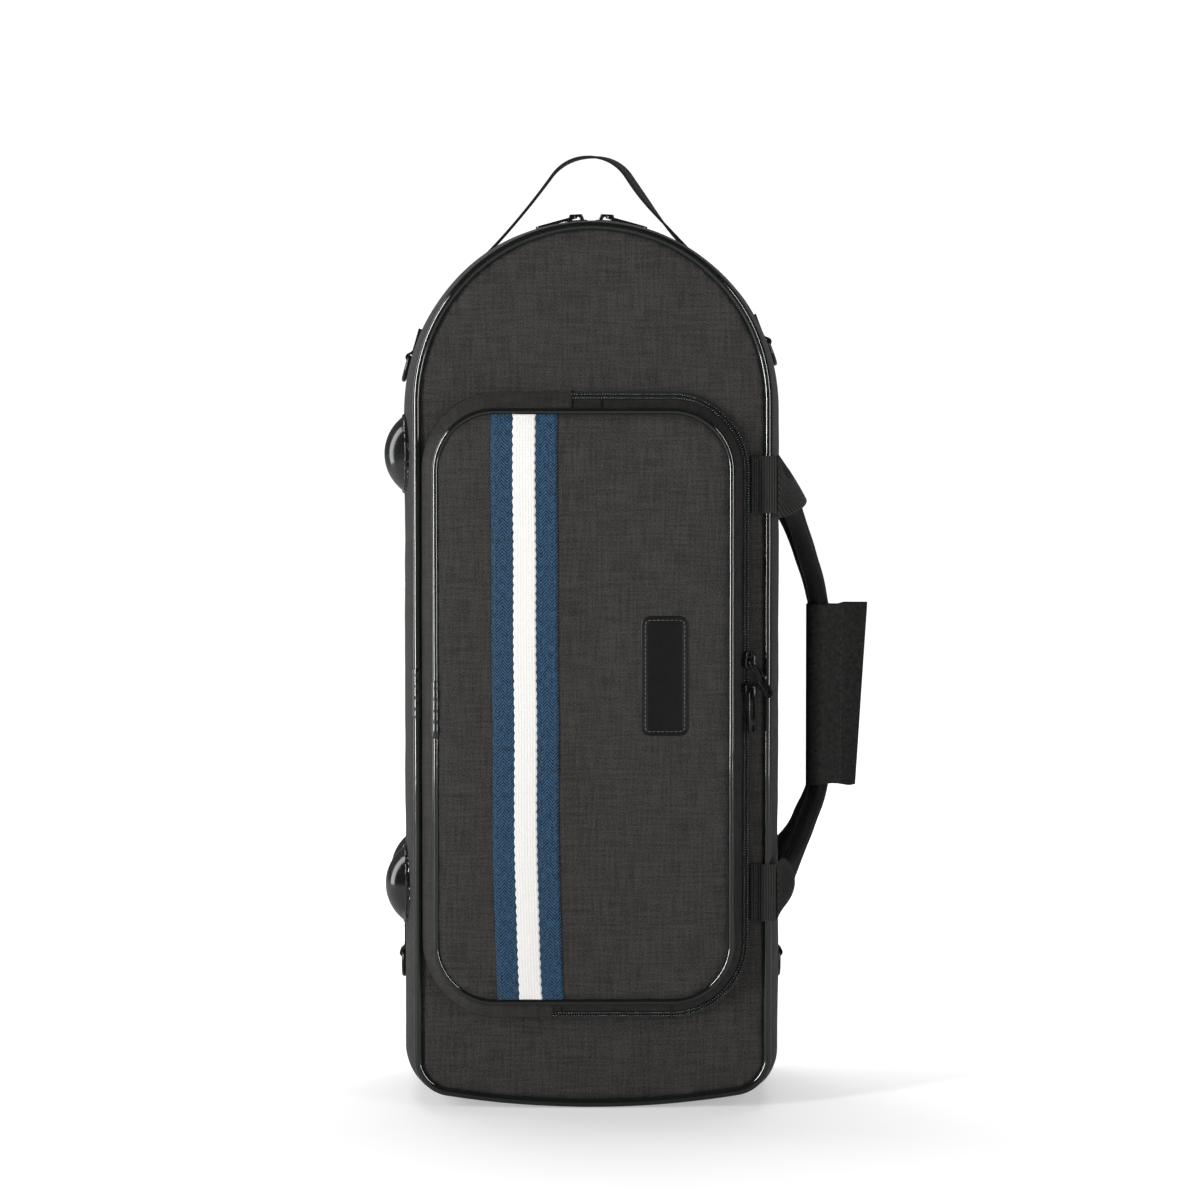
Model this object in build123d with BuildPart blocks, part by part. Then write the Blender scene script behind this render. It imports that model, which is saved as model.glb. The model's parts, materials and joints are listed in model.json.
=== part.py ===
from build123d import *

import os
from math import atan2, cos, degrees, hypot, radians, sin, sqrt, tan

# Soft trumpet case: a clamshell of two foam shells that stands on its end, zipped
# round the top, the right side and the bottom and hinged in fabric down the left.
#
# X runs to the right, Y to the back and Z up. The origin is on the floor, under the
# middle of the case, in the plane where the two shells meet. Sizes are in millimetres.
# The front shell is the lid, the back shell is the base.

# Case outline, at the front and back edges
case_depth = 150.0
edge_half_width = 111.6
edge_top = 553.6
edge_lift = 3.0  # lowest point of the front and back edges above the floor
bottom_arc_radius = 420.0
corner_radius = 24.0
least_corner = 4.0

# How far the side walls swell where the shells meet
side_bulge = 8.0
top_bulge = 4.0
bottom_bulge = 7.0
bulge_power = 2.6
wall_stations = (-1.0, -0.9, -0.68, -0.38, 0.0, 0.38, 0.68, 0.9, 1.0)  # shares of the half depth

# Layers of the wall, from the outside in
cover_thickness = 1.2
foam_thickness = 8.0
lining_thickness = 1.4
bond_gap = 0.2  # glue line between layers
rim_gap = 0.5  # from the meeting plane to each foam rim
bottom_cover_half_width = 80.0
bottom_seam = 0.4  # gap between the bottom cover and the gusset

# Piping
piping_radius = 2.6
piping_inset = 2.2
piping_setback = 0.4  # from the front face back to the piping's middle
sleeve_length = 31.0
sleeve_wall = 0.5
sleeve_height = 261.0

# Zipper chain, the same in the main zipper and the pocket's
tape_thickness = 0.9
coil_width = 2.2
coil_depth = 2.2
chain_gap = 0.6  # from the middle of the chain to each coil
slider_clearance = 0.3

# Main zipper and fabric hinge
tape_width = 12.7
tape_bed_depth = 3.2  # step in the foam under the tapes
hinge_low = 62.0
hinge_high = 432.0
hinge_reach = 3.0  # how far the base's hinge tape crosses the meeting plane
hinge_gap = 0.4

# Bumper feet
foot_radius = 25.0
foot_flange_thickness = 1.6
foot_dome_radius = 23.2
foot_dome_height = 11.4
foot_skirt = 4.0
foot_edge = 0.6  # softening of the flange's rim
foot_low = 137.0
foot_high = 410.0
foot_offset = 37.0  # from the meeting plane
foot_seat_gap = 0.2
screw_radius = 2.0
screw_hole_gap = 0.2
screw_grip = 7.0  # length of thread in the foot
screw_head_radius = 4.2
screw_head_height = 1.8
screw_head_chamfer = 0.4
screw_slot_length = 4.4
screw_slot_width = 0.9
screw_slot_depth = 1.0
washer_radius = 9.0
washer_thickness = 1.2
washer_depth = 6.2  # from the outside of the wall to the washer

# Front pocket, measured at the middle of its piping
pocket_left = -97.4
pocket_right = 86.0
pocket_low = 69.5
pocket_high = 436.5
pocket_corner = 37.0
pocket_rise = 18.0
pocket_spread_left = 9.0
pocket_spread = 12.0  # at the right side and both ends
pocket_panel_thickness = 3.0
pocket_panel_chamfer = 0.8
pocket_piping_radius = 2.1
pocket_chain_spread = 8.8  # from the piping out to the chain
pocket_wall_start = 1.6  # from the piping out to the top of the sloped wall
pocket_fold_low_x = -20.0
pocket_fold_high_x = 6.0
fold_gap = 0.3  # from the fold to each side of it
fold_stand_off = 1.0  # fold line in front of the pocket's face
pocket_sleeve_length = 36.0
pocket_sleeve_height = 252.0

# Stripe and patch on the pocket
stripe_x = -42.0
stripe_width = 41.0
stripe_centre_width = 13.6
stripe_thickness = 1.2
stripe_groove = 0.5
patch_x = 44.6
patch_z = 273.0
patch_width = 29.8
patch_height = 74.5
patch_thickness = 1.8
patch_corner = 4.0
patch_edge = 0.6

# Carrying handles on the right side
webbing_thickness = 1.3
handle_width = 36.0
handle_top_z = 391.0
handle_low_z = 136.0
tab_clearance = 0.4
tab_end_beyond_edge = 2.6
tab_ramp = 3.2  # run of the slope up over the piping
handle_hinge_gap = 0.9
grip_x = 146.0
grip_y = 9.0  # from the meeting plane
grip_tube = 12.4
roundness = 0.48  # corner radius of the folded webbing as a share of its thinner side
grip_low_z = 197.0
grip_high_z = 314.0
wrap_wall = 2.4
wrap_gap = 0.2
wrap_flap_reach = 177.0
wrap_flap_thickness = 3.6
wrap_neck = 5.0  # fillet where the flap leaves the round part

# Hanging loop over the top
loop_width = 25.0
loop_y = 32.0
loop_lift_angle = 50.0  # from the vertical to where the webbing leaves the wall
loop_sewn_angle = 8.0
loop_top_radius = 36.0
loop_stub_length = 40.0  # from the wall to the line where the loop bends
loop_hinge_gap = 0.6
loop_bend_margin = 0.5  # how far the rounded ends pass the webbing's edges

# Rings for a shoulder strap
ring_y = 28.0
ring_wire = 1.4
ring_width = 22.0
ring_drop = 15.0
ring_bar_corner = 2.0
ring_wall_gap = 0.2  # the wall is curved, and the frame stands clear of its crown
ring_tab_width = 15.0
ring_tab_length = 20.0
ring_tab_thickness = 1.2
ring_clearance = 0.35
ring_low_z = 84.0
ring_right_angle = 21.0
ring_left_angle = 16.0

# Zipper sliders and pullers
slider_length = 11.0
slider_width = 8.4
slider_tail_width = 6.0
slider_plate = 1.3
slider_bottom_width = 5.6
slider_post_length = 3.0
slider_nose = 1.6  # cut off each corner at the closing end
slider_corner = 0.7
slider_end_margin = 0.5  # the lower plate is this much shorter at each end
slider_flange_length = 3.6
slider_flange_offset = 1.9
bridge_length = 8.0
bridge_height = 4.6
bridge_width = 2.0
bridge_wall = 1.3
bridge_slant = 1.0  # how far each leg leans in
bridge_inner_slant = 0.8
puller_length = 27.0
puller_width = 7.2
puller_rail = 1.3
puller_window = 15.5
puller_thickness = 1.5
puller_hole_radius = 1.9
puller_hole_margin = 0.3
puller_corner = 2.4
puller_window_corner = 0.8
puller_rest_angle = 6.0
main_slider_offset = 9.5  # each slider's middle from the top of the arch, along it
pocket_slider_high = 282.0
pocket_slider_low = 262.5
high_puller_turn = 24.0
high_puller_lift = 16.0
high_puller_shift = 0.9

# Fitted insert
insert_front = 4.0
insert_split_low = 163.0
insert_split_high = 346.0
bell_x = -40.0
bell_axis_y = -1.5
bell_rim_z = 21.0
bell_rim_radius = 62.0
bell_rim_height = 10.0
bell_mid_radius = 27.0
bell_mid_z = 92.0
bell_throat_z = 175.0
bell_throat_radius = 17.0
bell_rim_lean = (-0.6, 1)  # way the flare leaves the rim
loops_x = 2.0
loops_width = 108.0
loops_low = 166.0
loops_high = 420.0
loops_depth = 32.0
loops_corner = 30.0
valves_x = 1.0
valves_width = 178.0
valves_low = 240.0
valves_high = 340.0
valves_depth = 34.0
leadpipe_width = 34.0
leadpipe_high = 512.0
leadpipe_depth = 24.0
box_x = 67.0
box_width = 54.0
box_low = 30.0
box_high = 150.0
box_depth = 54.0
cavity_corner = 9.0
mouthpiece_x = 80.0
mouthpiece_strip_left = 60.0
mouthpiece_zs = (378.0, 416.0)
mouthpiece_cup_radius = 14.0
mouthpiece_cup_depth = 20.0
mouthpiece_shank_radius = 6.5
mouthpiece_shank_depth = 52.0

# Accessory flap and leadpipe strap, inside
flap_overlap = 2.5
flap_thickness = 3.4
flap_gap = 0.3
pull_tab_width = 14.0
pull_tab_length = 12.0
pull_tab_thickness = 1.2
pull_tab_overhang = 2.0
pull_tab_corner = 3.5
strap_z = 452.0
strap_width = 25.0
strap_overhang = 9.0
strap_thickness = 1.6
strap_tab_length = 10.0
strap_corner = 6.2

half_depth = case_depth / 2
seam_half_width = edge_half_width + side_bulge
seam_centre_z = edge_top + top_bulge - seam_half_width
front_panel_inset = piping_inset + piping_radius + 2 * bond_gap
piping_depth = half_depth - piping_setback
ring_end = piping_depth - piping_radius - bond_gap  # where gussets stop short of the piping
foam_inset = cover_thickness + bond_gap
cavity_inset = foam_inset + foam_thickness
lining_inset = cavity_inset + bond_gap
inner_inset = lining_inset + lining_thickness
foam_front = half_depth - foam_inset
foam_floor = foam_front - foam_thickness
cover_rim = slider_width / 2 + 2 * slider_clearance
big = 2 * edge_top  # longer than the case, for cutting blocks

os.makedirs("parts", exist_ok=True)


def swell(y):
    """Share of the full bulge at depth y."""
    return 1 - (abs(y) / half_depth) ** bulge_power


def half_width(y):
    return edge_half_width + side_bulge * swell(y)


def case_outline(y, inset):
    """Closed outline of the case at depth y: an arch, two sides and a crowned bottom."""
    half = half_width(y) - inset
    centre = edge_top + top_bulge * swell(y) - half_width(y)
    low = edge_lift - bottom_bulge * swell(y) + inset
    wide = bottom_arc_radius - inset
    small = max(corner_radius - inset, least_corner)
    side = half - small
    wide_centre = low + wide
    small_centre = wide_centre - sqrt((wide - small) ** 2 - side**2)
    turn = degrees(atan2(small_centre - wide_centre, side))
    CenterArc((0, centre), half, 0, 180)
    Line((-half, centre), (-half, small_centre))
    CenterArc((-side, small_centre), small, 180, -turn)
    CenterArc((0, wide_centre), wide, -180 - turn, 180 + 2 * turn)
    CenterArc((side, small_centre), small, turn, -turn)
    Line((half, small_centre), (half, centre))


def depth_plane(y):
    """Plane parallel to the front panel, at depth y, with X right and Z up."""
    return Plane.XZ.offset(-y)


def slab(y_from, y_to, x_from=-big, x_to=big, z_from=-big, z_to=big):
    """Block used for cutting layers to length."""
    middle = Pos((x_from + x_to) / 2, (y_from + y_to) / 2, (z_from + z_to) / 2)
    return middle * Box(x_to - x_from, y_to - y_from, z_to - z_from)


def filled_case(inset):
    """The whole case as one solid, with its wall taken in by inset and its base flat."""
    with BuildPart() as body:
        for share in wall_stations:
            with BuildSketch(depth_plane(share * half_depth)):
                with BuildLine():
                    case_outline(share * half_depth, inset)
                make_face()
        loft()
    return body.part & slab(-big, big, z_from=inset, z_to=big)


def panel(y_from, y_to, inset):
    """Flat plate with the outline of the front or back face, taken in by inset."""
    edge = half_depth if y_from + y_to > 0 else -half_depth
    with BuildPart() as plate:
        with BuildSketch(depth_plane(y_from)):
            with BuildLine():
                case_outline(edge, inset)
            make_face()
        extrude(amount=-(y_to - y_from))
    return plate.part


def group(pieces):
    """Several like pieces as one node of separate solids."""
    return Part(Compound(children=[Solid(piece.solids()[0].wrapped) for piece in pieces]).wrapped)


def save(piece, name):
    """Label a finished piece and write it to its own file."""
    solids = piece.solids()
    if len(solids) == 1:
        piece = Part(solids[0].wrapped)
    piece.label = name
    export_step(piece, f"parts/{name}.step")


outside = filled_case(0)
under_cover = filled_case(foam_inset)
tape_outer = under_cover
tape_inner = filled_case(foam_inset + tape_thickness)
bed_floor = filled_case(foam_inset + tape_bed_depth)
cavity = filled_case(cavity_inset)
lining_outer = filled_case(lining_inset)
lining_inner = filled_case(inner_inset)
coil_outer = filled_case(foam_inset - coil_depth) & slab(-big, big, z_from=slider_clearance, z_to=big)


def depths(side, near, far):
    """Depth range of a layer on one shell, counted from the meeting plane."""
    return (near, far) if side > 0 else (-far, -near)


def swept_edge(y, inset, profile_radius, hollow_radius=0.0):
    """Round bar, or tube, swept round the edge of the front or back face."""
    with BuildPart() as bar:
        with BuildLine(depth_plane(y)) as path:
            case_outline(half_depth, inset)
        edge = path.wire()
        with BuildSketch(Plane(origin=edge @ 0, z_dir=edge % 0)):
            Circle(profile_radius)
            if hollow_radius:
                Circle(hollow_radius, mode=Mode.SUBTRACT)
        sweep(path=edge)
    return bar.part


# ---------------------------------------------------------------- bumper feet


def foot_plane(side, height):
    """Plane on the left wall at a foot, Z pointing out along the wall's normal."""
    y = side * foot_offset
    slope = (half_width(y + 1) - half_width(y - 1)) / 2
    return Plane(origin=(-half_width(y), y, height), x_dir=(0, 0, 1), z_dir=(-1, -slope, 0))


def foot(side, height):
    """Glossy bumper: a domed disc with a flange, hollowed to sit on the curved wall."""
    base = foot_plane(side, height)
    top = foot_flange_thickness + foot_dome_height
    sphere = (foot_dome_radius**2 + foot_dome_height**2) / (2 * foot_dome_height)
    with BuildPart() as body:
        with BuildSketch(Plane(origin=base.origin, x_dir=base.x_dir, z_dir=-base.y_dir)):
            with BuildLine():
                Polyline(
                    (0, top),
                    (0, -foot_skirt),
                    (foot_radius, -foot_skirt),
                    (foot_radius, foot_flange_thickness - foot_edge),
                    (foot_radius - foot_edge, foot_flange_thickness),
                    (foot_dome_radius, foot_flange_thickness),
                )
                RadiusArc((foot_dome_radius, foot_flange_thickness), (0, top), -sphere)
            make_face()
        revolve(axis=Axis(base.origin, base.z_dir))
        with Locations(base.offset(-foot_skirt)):
            Cylinder(
                screw_radius,
                foot_skirt + screw_grip,
                align=(Align.CENTER, Align.CENTER, Align.MIN),
                mode=Mode.SUBTRACT,
            )
    return body.part - foot_seat


def foot_hole(side, height):
    """Clearance hole through the wall with a counterbore for the washer and head."""
    base = foot_plane(side, height)
    reach = 2 * foam_thickness
    low = (Align.CENTER, Align.CENTER, Align.MIN)
    with BuildPart() as hole:
        with Locations(base.offset(-reach)):
            Cylinder(screw_radius + screw_hole_gap, 2 * reach, align=low)
            Cylinder(washer_radius + screw_hole_gap, reach - washer_depth + bond_gap, align=low)
    return hole.part


def foot_screw(side, height):
    base = foot_plane(side, height)
    head = washer_depth + washer_thickness
    low = (Align.CENTER, Align.CENTER, Align.MIN)
    with BuildPart() as screw:
        with Locations(base.offset(-head)):
            Cylinder(screw_radius, head + screw_grip - bond_gap, align=low)
        with Locations(base.offset(-head - screw_head_height)):
            Cylinder(screw_head_radius, screw_head_height, align=low)
        driven = screw.faces().sort_by(Axis(base.origin, base.z_dir))[0]
        chamfer(driven.edges(), screw_head_chamfer)
        with BuildSketch(base.offset(-head - screw_head_height)):
            Rectangle(screw_slot_length, screw_slot_width)
            Rectangle(screw_slot_width, screw_slot_length)
        extrude(amount=screw_slot_depth, mode=Mode.SUBTRACT)
    return screw.part


def foot_washer(side, height):
    base = foot_plane(side, height)
    with BuildPart() as washer:
        with BuildSketch(base.offset(-washer_depth - washer_thickness)):
            Circle(washer_radius)
            Circle(screw_radius + screw_hole_gap / 2, mode=Mode.SUBTRACT)
        extrude(amount=washer_thickness)
    return washer.part


foot_seat = filled_case(-foot_seat_gap)
shell_names = {-1: "lid", 1: "base"}
foot_heights = (foot_low, foot_high)
for side, shell in shell_names.items():
    save(group([foot(side, height) for height in foot_heights]), f"{shell}_feet")
    fixings = [foot_screw(side, height) for height in foot_heights]
    fixings += [foot_washer(side, height) for height in foot_heights]
    save(group(fixings), f"{shell}_foot_fixings")


# ---------------------------------------------------------------- shells


def foam_shell(side):
    """Moulded foam dish: a wall with a step for the zipper tapes and a flat panel."""
    wall = under_cover & slab(*depths(side, rim_gap, ring_end))
    face = panel(*depths(side, ring_end, foam_front), front_panel_inset)
    hollow = cavity & slab(*depths(side, -1, foam_floor))
    bed = (under_cover - bed_floor) & slab(*depths(side, -1, tape_width + slider_clearance))
    shell = wall + face - hollow - bed
    for height in foot_heights:
        shell = shell - foot_hole(side, height)
    return shell


def gusset(side):
    """Fabric round the wall, left open at the bottom for the tougher bottom cover."""
    sleeve = (outside - filled_case(cover_thickness)) & slab(*depths(side, cover_rim, ring_end))
    window = slab(-big, big, -bottom_cover_half_width, bottom_cover_half_width, -big, corner_radius)
    ring = sleeve - window
    for height in foot_heights:
        ring = ring - foot_hole(side, height)
    return ring


def bottom_cover(side):
    """Wear panel under the case, flat where it stands on the floor."""
    reach = bottom_cover_half_width - bottom_seam
    sleeve = (outside - filled_case(cover_thickness)) & slab(*depths(side, cover_rim, ring_end))
    return sleeve & slab(-big, big, -reach, reach, -big, corner_radius)


def lining(side):
    """Plush inside the shell, up to the rim."""
    outer = lining_outer & slab(*depths(side, rim_gap, foam_floor - bond_gap))
    return outer - (lining_inner & slab(*depths(side, -1, foam_floor - bond_gap - lining_thickness)))


hinge_block = slab(-big, big, -big, -bottom_cover_half_width, hinge_low, hinge_high)
for side, shell in shell_names.items():
    save(foam_shell(side), f"{shell}_foam")
    save(gusset(side), f"{shell}_gusset")
    save(bottom_cover(side), f"{shell}_bottom_cover")
    cover = panel(*depths(side, half_depth - cover_thickness, half_depth), front_panel_inset)
    save(cover, f"{shell}_panel")
    piping = swept_edge(side * piping_depth, piping_inset, piping_radius)
    save(piping, f"{shell}_piping")
    tape = (tape_outer - tape_inner) & slab(*depths(side, chain_gap, tape_width))
    save(tape - hinge_block, f"{shell}_zip_tape")
    coil = (coil_outer - under_cover) & slab(*depths(side, chain_gap, chain_gap + coil_width))
    save(coil - hinge_block, f"{shell}_zip_coil")
    save(lining(side), f"{shell}_lining")

hinge_span = slab(-big, big, -big, -bottom_cover_half_width, hinge_low + hinge_gap, hinge_high - hinge_gap)
hinge_layer = (tape_outer - tape_inner) & hinge_span
save(hinge_layer & slab(-hinge_reach, tape_width), "fabric_hinge")
save(hinge_layer & slab(-tape_width, -hinge_reach - hinge_gap), "fabric_hinge_lid_edge")


# ---------------------------------------------------------------- front pocket

# The pocket's wall slopes out from its piping to the lid's front panel
slope_top = (pocket_wall_start, pocket_rise - 2 * pocket_piping_radius - bond_gap)  # spread, rise
slope_foot = (pocket_spread, bond_gap)
slope_run = slope_foot[0] - slope_top[0]
slope_fall = slope_top[1] - slope_foot[1]
slope_length = hypot(slope_run, slope_fall)
slope_along = (slope_run / slope_length, -slope_fall / slope_length)
slope_normal = (slope_fall / slope_length, slope_run / slope_length)
wall_run = tape_thickness / slope_normal[0]  # the wall's thickness, measured sideways
chain_rise = slope_top[1] - (pocket_chain_spread - slope_top[0]) * slope_fall / slope_run

fold_low = Vector(pocket_fold_low_x, -half_depth - pocket_rise - fold_stand_off, pocket_low)
fold_high = Vector(pocket_fold_high_x, fold_low.Y, pocket_high)
fold_up = (fold_high - fold_low).normalized()
fold_plane = Plane(origin=fold_low, x_dir=fold_up, z_dir=fold_up.cross(Vector(0, -1, 0)))


def on_slope(along, out):
    """Point beside the chain: along the slope, and out from its outer face."""
    return (
        pocket_chain_spread + along * slope_along[0] + out * slope_normal[0],
        chain_rise + along * slope_along[1] + out * slope_normal[1],
    )


def flap_side(shape):
    """Part of the shape on the flap's side of the fold."""
    low = (Align.CENTER, Align.CENTER, Align.MIN)
    return shape & (fold_plane.offset(fold_gap).location * Box(big, big, big, align=low))


def fixed_side(shape):
    """Part of the shape on the fixed side of the fold."""
    high = (Align.CENTER, Align.CENTER, Align.MAX)
    return shape & (fold_plane.offset(-fold_gap).location * Box(big, big, big, align=high))


def pocket_level(rise):
    """Plane at a rise above the lid's front panel, Z pointing forward."""
    return depth_plane(-half_depth - rise)


def pocket_outline(spread, spread_left):
    """Rounded rectangle round the pocket, grown from the middle of its piping."""
    left = pocket_left - spread_left
    right = pocket_right + spread
    low = pocket_low - spread
    high = pocket_high + spread
    with Locations(((left + right) / 2, (low + high) / 2)):
        RectangleRounded(right - left, high - low, pocket_corner + spread)


def pocket_wall(foot_point, foot_left):
    """Sloped wall from the piping down to a point (spread, rise) on the slope."""
    parts = []
    for inset in (0, wall_run):
        with BuildPart() as layer:
            with BuildSketch(pocket_level(foot_point[1])):
                pocket_outline(foot_point[0] - inset, foot_left - inset)
            with BuildSketch(pocket_level(slope_top[1])):
                pocket_outline(slope_top[0] - inset, slope_top[0] - inset)
            loft()
        parts.append(layer.part)
    return parts[0] - parts[1]


def pocket_edge(profile):
    """Profile of (spread, rise) points swept round the pocket, starting at the fold."""
    start = pocket_fold_low_x
    corners = [
        (start, pocket_low),
        (pocket_right, pocket_low),
        (pocket_right, pocket_high),
        (pocket_left, pocket_high),
        (pocket_left, pocket_low),
    ]
    with BuildPart() as edge:
        with BuildLine(depth_plane(-half_depth)) as path:
            FilletPolyline(*corners, (start - fold_gap / 2, pocket_low), radius=pocket_corner)
        with BuildSketch(Plane(origin=(start, -half_depth, pocket_low), x_dir=(0, 0, -1), z_dir=(-1, 0, 0))):
            profile()
        sweep(path=path.wire())
    return edge.part


def round_profile(radius, hollow=0.0):
    def draw():
        with Locations((0, pocket_rise - pocket_piping_radius)):
            Circle(radius)
            if hollow:
                Circle(hollow, mode=Mode.SUBTRACT)

    return draw


def slope_profile(from_along, to_along, from_out, to_out):
    def draw():
        Polygon(
            on_slope(from_along, from_out),
            on_slope(to_along, from_out),
            on_slope(to_along, to_out),
            on_slope(from_along, to_out),
            align=None,
        )

    return draw


pocket_bar = pocket_edge(round_profile(pocket_piping_radius))
save(fixed_side(pocket_bar), "pocket_piping")
save(flap_side(pocket_bar), "pocket_flap_piping")

panel_back = pocket_rise - pocket_panel_thickness
panel_spread = -pocket_piping_radius - bond_gap
with BuildPart() as pocket_plate:
    with BuildSketch(pocket_level(panel_back)):
        pocket_outline(panel_spread, panel_spread)
    extrude(amount=pocket_panel_thickness)
    chamfer(pocket_plate.faces().sort_by(Axis.Y)[0].edges(), pocket_panel_chamfer)
save(fixed_side(pocket_plate.part), "pocket_panel")
save(flap_side(pocket_plate.part), "pocket_flap_panel")

save(fixed_side(pocket_wall(slope_foot, pocket_spread_left)), "pocket_gusset")
wall_end = on_slope(-chain_gap, 0)
save(flap_side(pocket_wall(wall_end, wall_end[0])), "pocket_flap_gusset")

near_coil = (chain_gap, chain_gap + coil_width)
save(flap_side(pocket_edge(slope_profile(-near_coil[1], -near_coil[0], 0, coil_depth))), "pocket_flap_coil")
save(flap_side(pocket_edge(slope_profile(*near_coil, 0, coil_depth))), "pocket_coil")
outer_tape_end = (pocket_spread - pocket_chain_spread) / slope_along[0] - tape_thickness
outer_tape = pocket_edge(slope_profile(chain_gap, outer_tape_end, -tape_thickness, 0))
save(flap_side(outer_tape), "pocket_zip_tape")

sleeve_levels = (sleeve_height - sleeve_length / 2, sleeve_height + sleeve_length / 2)
outer_sleeve = swept_edge(-piping_depth, piping_inset, piping_radius + sleeve_wall, piping_radius)
outer_sleeve = outer_sleeve - (filled_case(-bond_gap / 2) & slab(-half_depth - bond_gap / 2, 0))
outer_sleeve = outer_sleeve & slab(-big, big, -big, 0, *sleeve_levels)
pocket_sleeve_low = pocket_sleeve_height - pocket_sleeve_length / 2
pocket_sleeve = pocket_edge(round_profile(pocket_piping_radius + sleeve_wall, pocket_piping_radius))
sleeve_front = -half_depth - slope_top[1] - bond_gap / 2
sleeve_right = pocket_left - panel_spread - bond_gap / 2
pocket_sleeve_high = pocket_sleeve_low + pocket_sleeve_length
sleeve_space = slab(-big, sleeve_front, -big, sleeve_right, pocket_sleeve_low, pocket_sleeve_high)
pocket_sleeve = pocket_sleeve & sleeve_space
save(group([outer_sleeve, pocket_sleeve]), "piping_sleeves")

with BuildPart() as stripe:
    with BuildSketch(pocket_level(pocket_rise)):
        pocket_outline(panel_spread - bond_gap, panel_spread - bond_gap)
    extrude(amount=stripe_thickness)
    with Locations((stripe_x, -half_depth - pocket_rise, (pocket_low + pocket_high) / 2)):
        Box(stripe_width, 4 * stripe_thickness, big, mode=Mode.INTERSECT)
    with Locations((stripe_x, -half_depth - pocket_rise - stripe_thickness, seam_centre_z)):
        Box(stripe_centre_width, 2 * stripe_groove, big, mode=Mode.SUBTRACT)
save(stripe.part, "stripe_webbing")

with BuildPart() as patch:
    with BuildSketch(depth_plane(-half_depth - pocket_rise)):
        with Locations((patch_x, patch_z)):
            RectangleRounded(patch_width, patch_height, patch_corner)
    extrude(amount=patch_thickness)
    fillet(patch.faces().sort_by(Axis.Y)[0].edges(), patch_edge)
save(patch.part, "leather_patch")


# ---------------------------------------------------------------- zipper sliders


def slider(frame, shut_side, bottom_reach):
    """Slider on a chain: X leads towards the closing end and Z points off the tape.

    shut_side is +1 or -1: the side along Y whose half of the chain stays in the slider.
    """
    half = slider_length / 2
    wide = slider_width / 2
    tail = slider_tail_width / 2
    top = coil_depth + slider_clearance
    bottom = -tape_thickness - slider_clearance
    with BuildPart() as body:
        with BuildSketch(frame.offset(top)):
            with BuildLine():
                Polyline(
                    (-half, -tail),
                    (0, -wide),
                    (half - slider_nose, -wide),
                    (half, -wide + slider_nose),
                    (half, wide - slider_nose),
                    (half - slider_nose, wide),
                    (0, wide),
                    (-half, tail),
                    close=True,
                )
            top_face = make_face()
            fillet(top_face.vertices(), slider_corner)
        extrude(amount=slider_plate)
        with BuildSketch(frame.offset(bottom)):
            width = slider_bottom_width / 2 + bottom_reach
            with Locations((0, shut_side * (slider_bottom_width / 2 - bottom_reach) / 2)):
                Rectangle(slider_length - 2 * slider_end_margin, width)
        extrude(amount=-slider_plate)
        with BuildSketch(frame.offset(bottom)):
            with Locations((half - slider_end_margin - slider_post_length / 2, 0)):
                Rectangle(slider_post_length, 2 * (chain_gap - slider_clearance))
        extrude(amount=top - bottom)
        flange = wide - chain_gap - coil_width - slider_clearance
        with BuildSketch(frame.offset(slider_clearance)):
            with Locations((slider_flange_offset, shut_side * (wide - flange / 2))):
                Rectangle(slider_flange_length, flange)
        extrude(amount=top - slider_clearance)
        seat = top + slider_plate
        side_view = Plane(origin=frame.origin, x_dir=frame.x_dir, z_dir=-frame.y_dir)
        with BuildSketch(side_view):
            with BuildLine():
                Polyline(
                    (-bridge_length / 2, seat),
                    (-bridge_length / 2 + bridge_slant, seat + bridge_height),
                    (bridge_length / 2 - bridge_slant, seat + bridge_height),
                    (bridge_length / 2, seat),
                    close=True,
                )
            make_face()
            inner = bridge_length / 2 - bridge_wall
            inner_top = seat + bridge_height - bridge_wall
            with BuildLine():
                Polyline(
                    (-inner, seat),
                    (-inner + bridge_inner_slant, inner_top),
                    (inner - bridge_inner_slant, inner_top),
                    (inner, seat),
                    close=True,
                )
            make_face(mode=Mode.SUBTRACT)
        extrude(amount=bridge_width / 2, both=True)
    return body.part


bar_height = coil_depth + slider_clearance + slider_plate + (bridge_height - bridge_wall) / 2


def puller(frame):
    """Zipper puller: a long loop whose near bar runs along Y through the bridge."""
    end = puller_length - puller_rail / 2
    with BuildPart() as body:
        with BuildSketch(frame.offset(-puller_thickness / 2)):
            with Locations(((end - puller_rail / 2) / 2, 0)):
                RectangleRounded(puller_length, puller_width, puller_corner)
            with Locations((puller_window / 2 + puller_rail / 2, 0)):
                window_width = puller_width - 2 * puller_rail
                RectangleRounded(puller_window, window_width, puller_window_corner, mode=Mode.SUBTRACT)
            with Locations((end - puller_hole_radius - puller_rail - puller_hole_margin, 0)):
                Circle(puller_hole_radius, mode=Mode.SUBTRACT)
        extrude(amount=puller_thickness)
    return body.part


def lying(frame, lean, turn=0.0, lift=0.0, shift=0.0):
    """Frame of a puller: X along it, Y along its bar, Z away from the slider."""
    along = frame.x_dir * lean
    aside = frame.y_dir * lean
    flat = along * cos(radians(turn)) + aside * sin(radians(turn))
    way = flat * cos(radians(lift)) + frame.z_dir * sin(radians(lift))
    up = frame.z_dir * cos(radians(lift)) - flat * sin(radians(lift))
    middle = frame.origin + frame.z_dir * bar_height - aside * shift
    return Plane(origin=middle, x_dir=way, z_dir=up)


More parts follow.
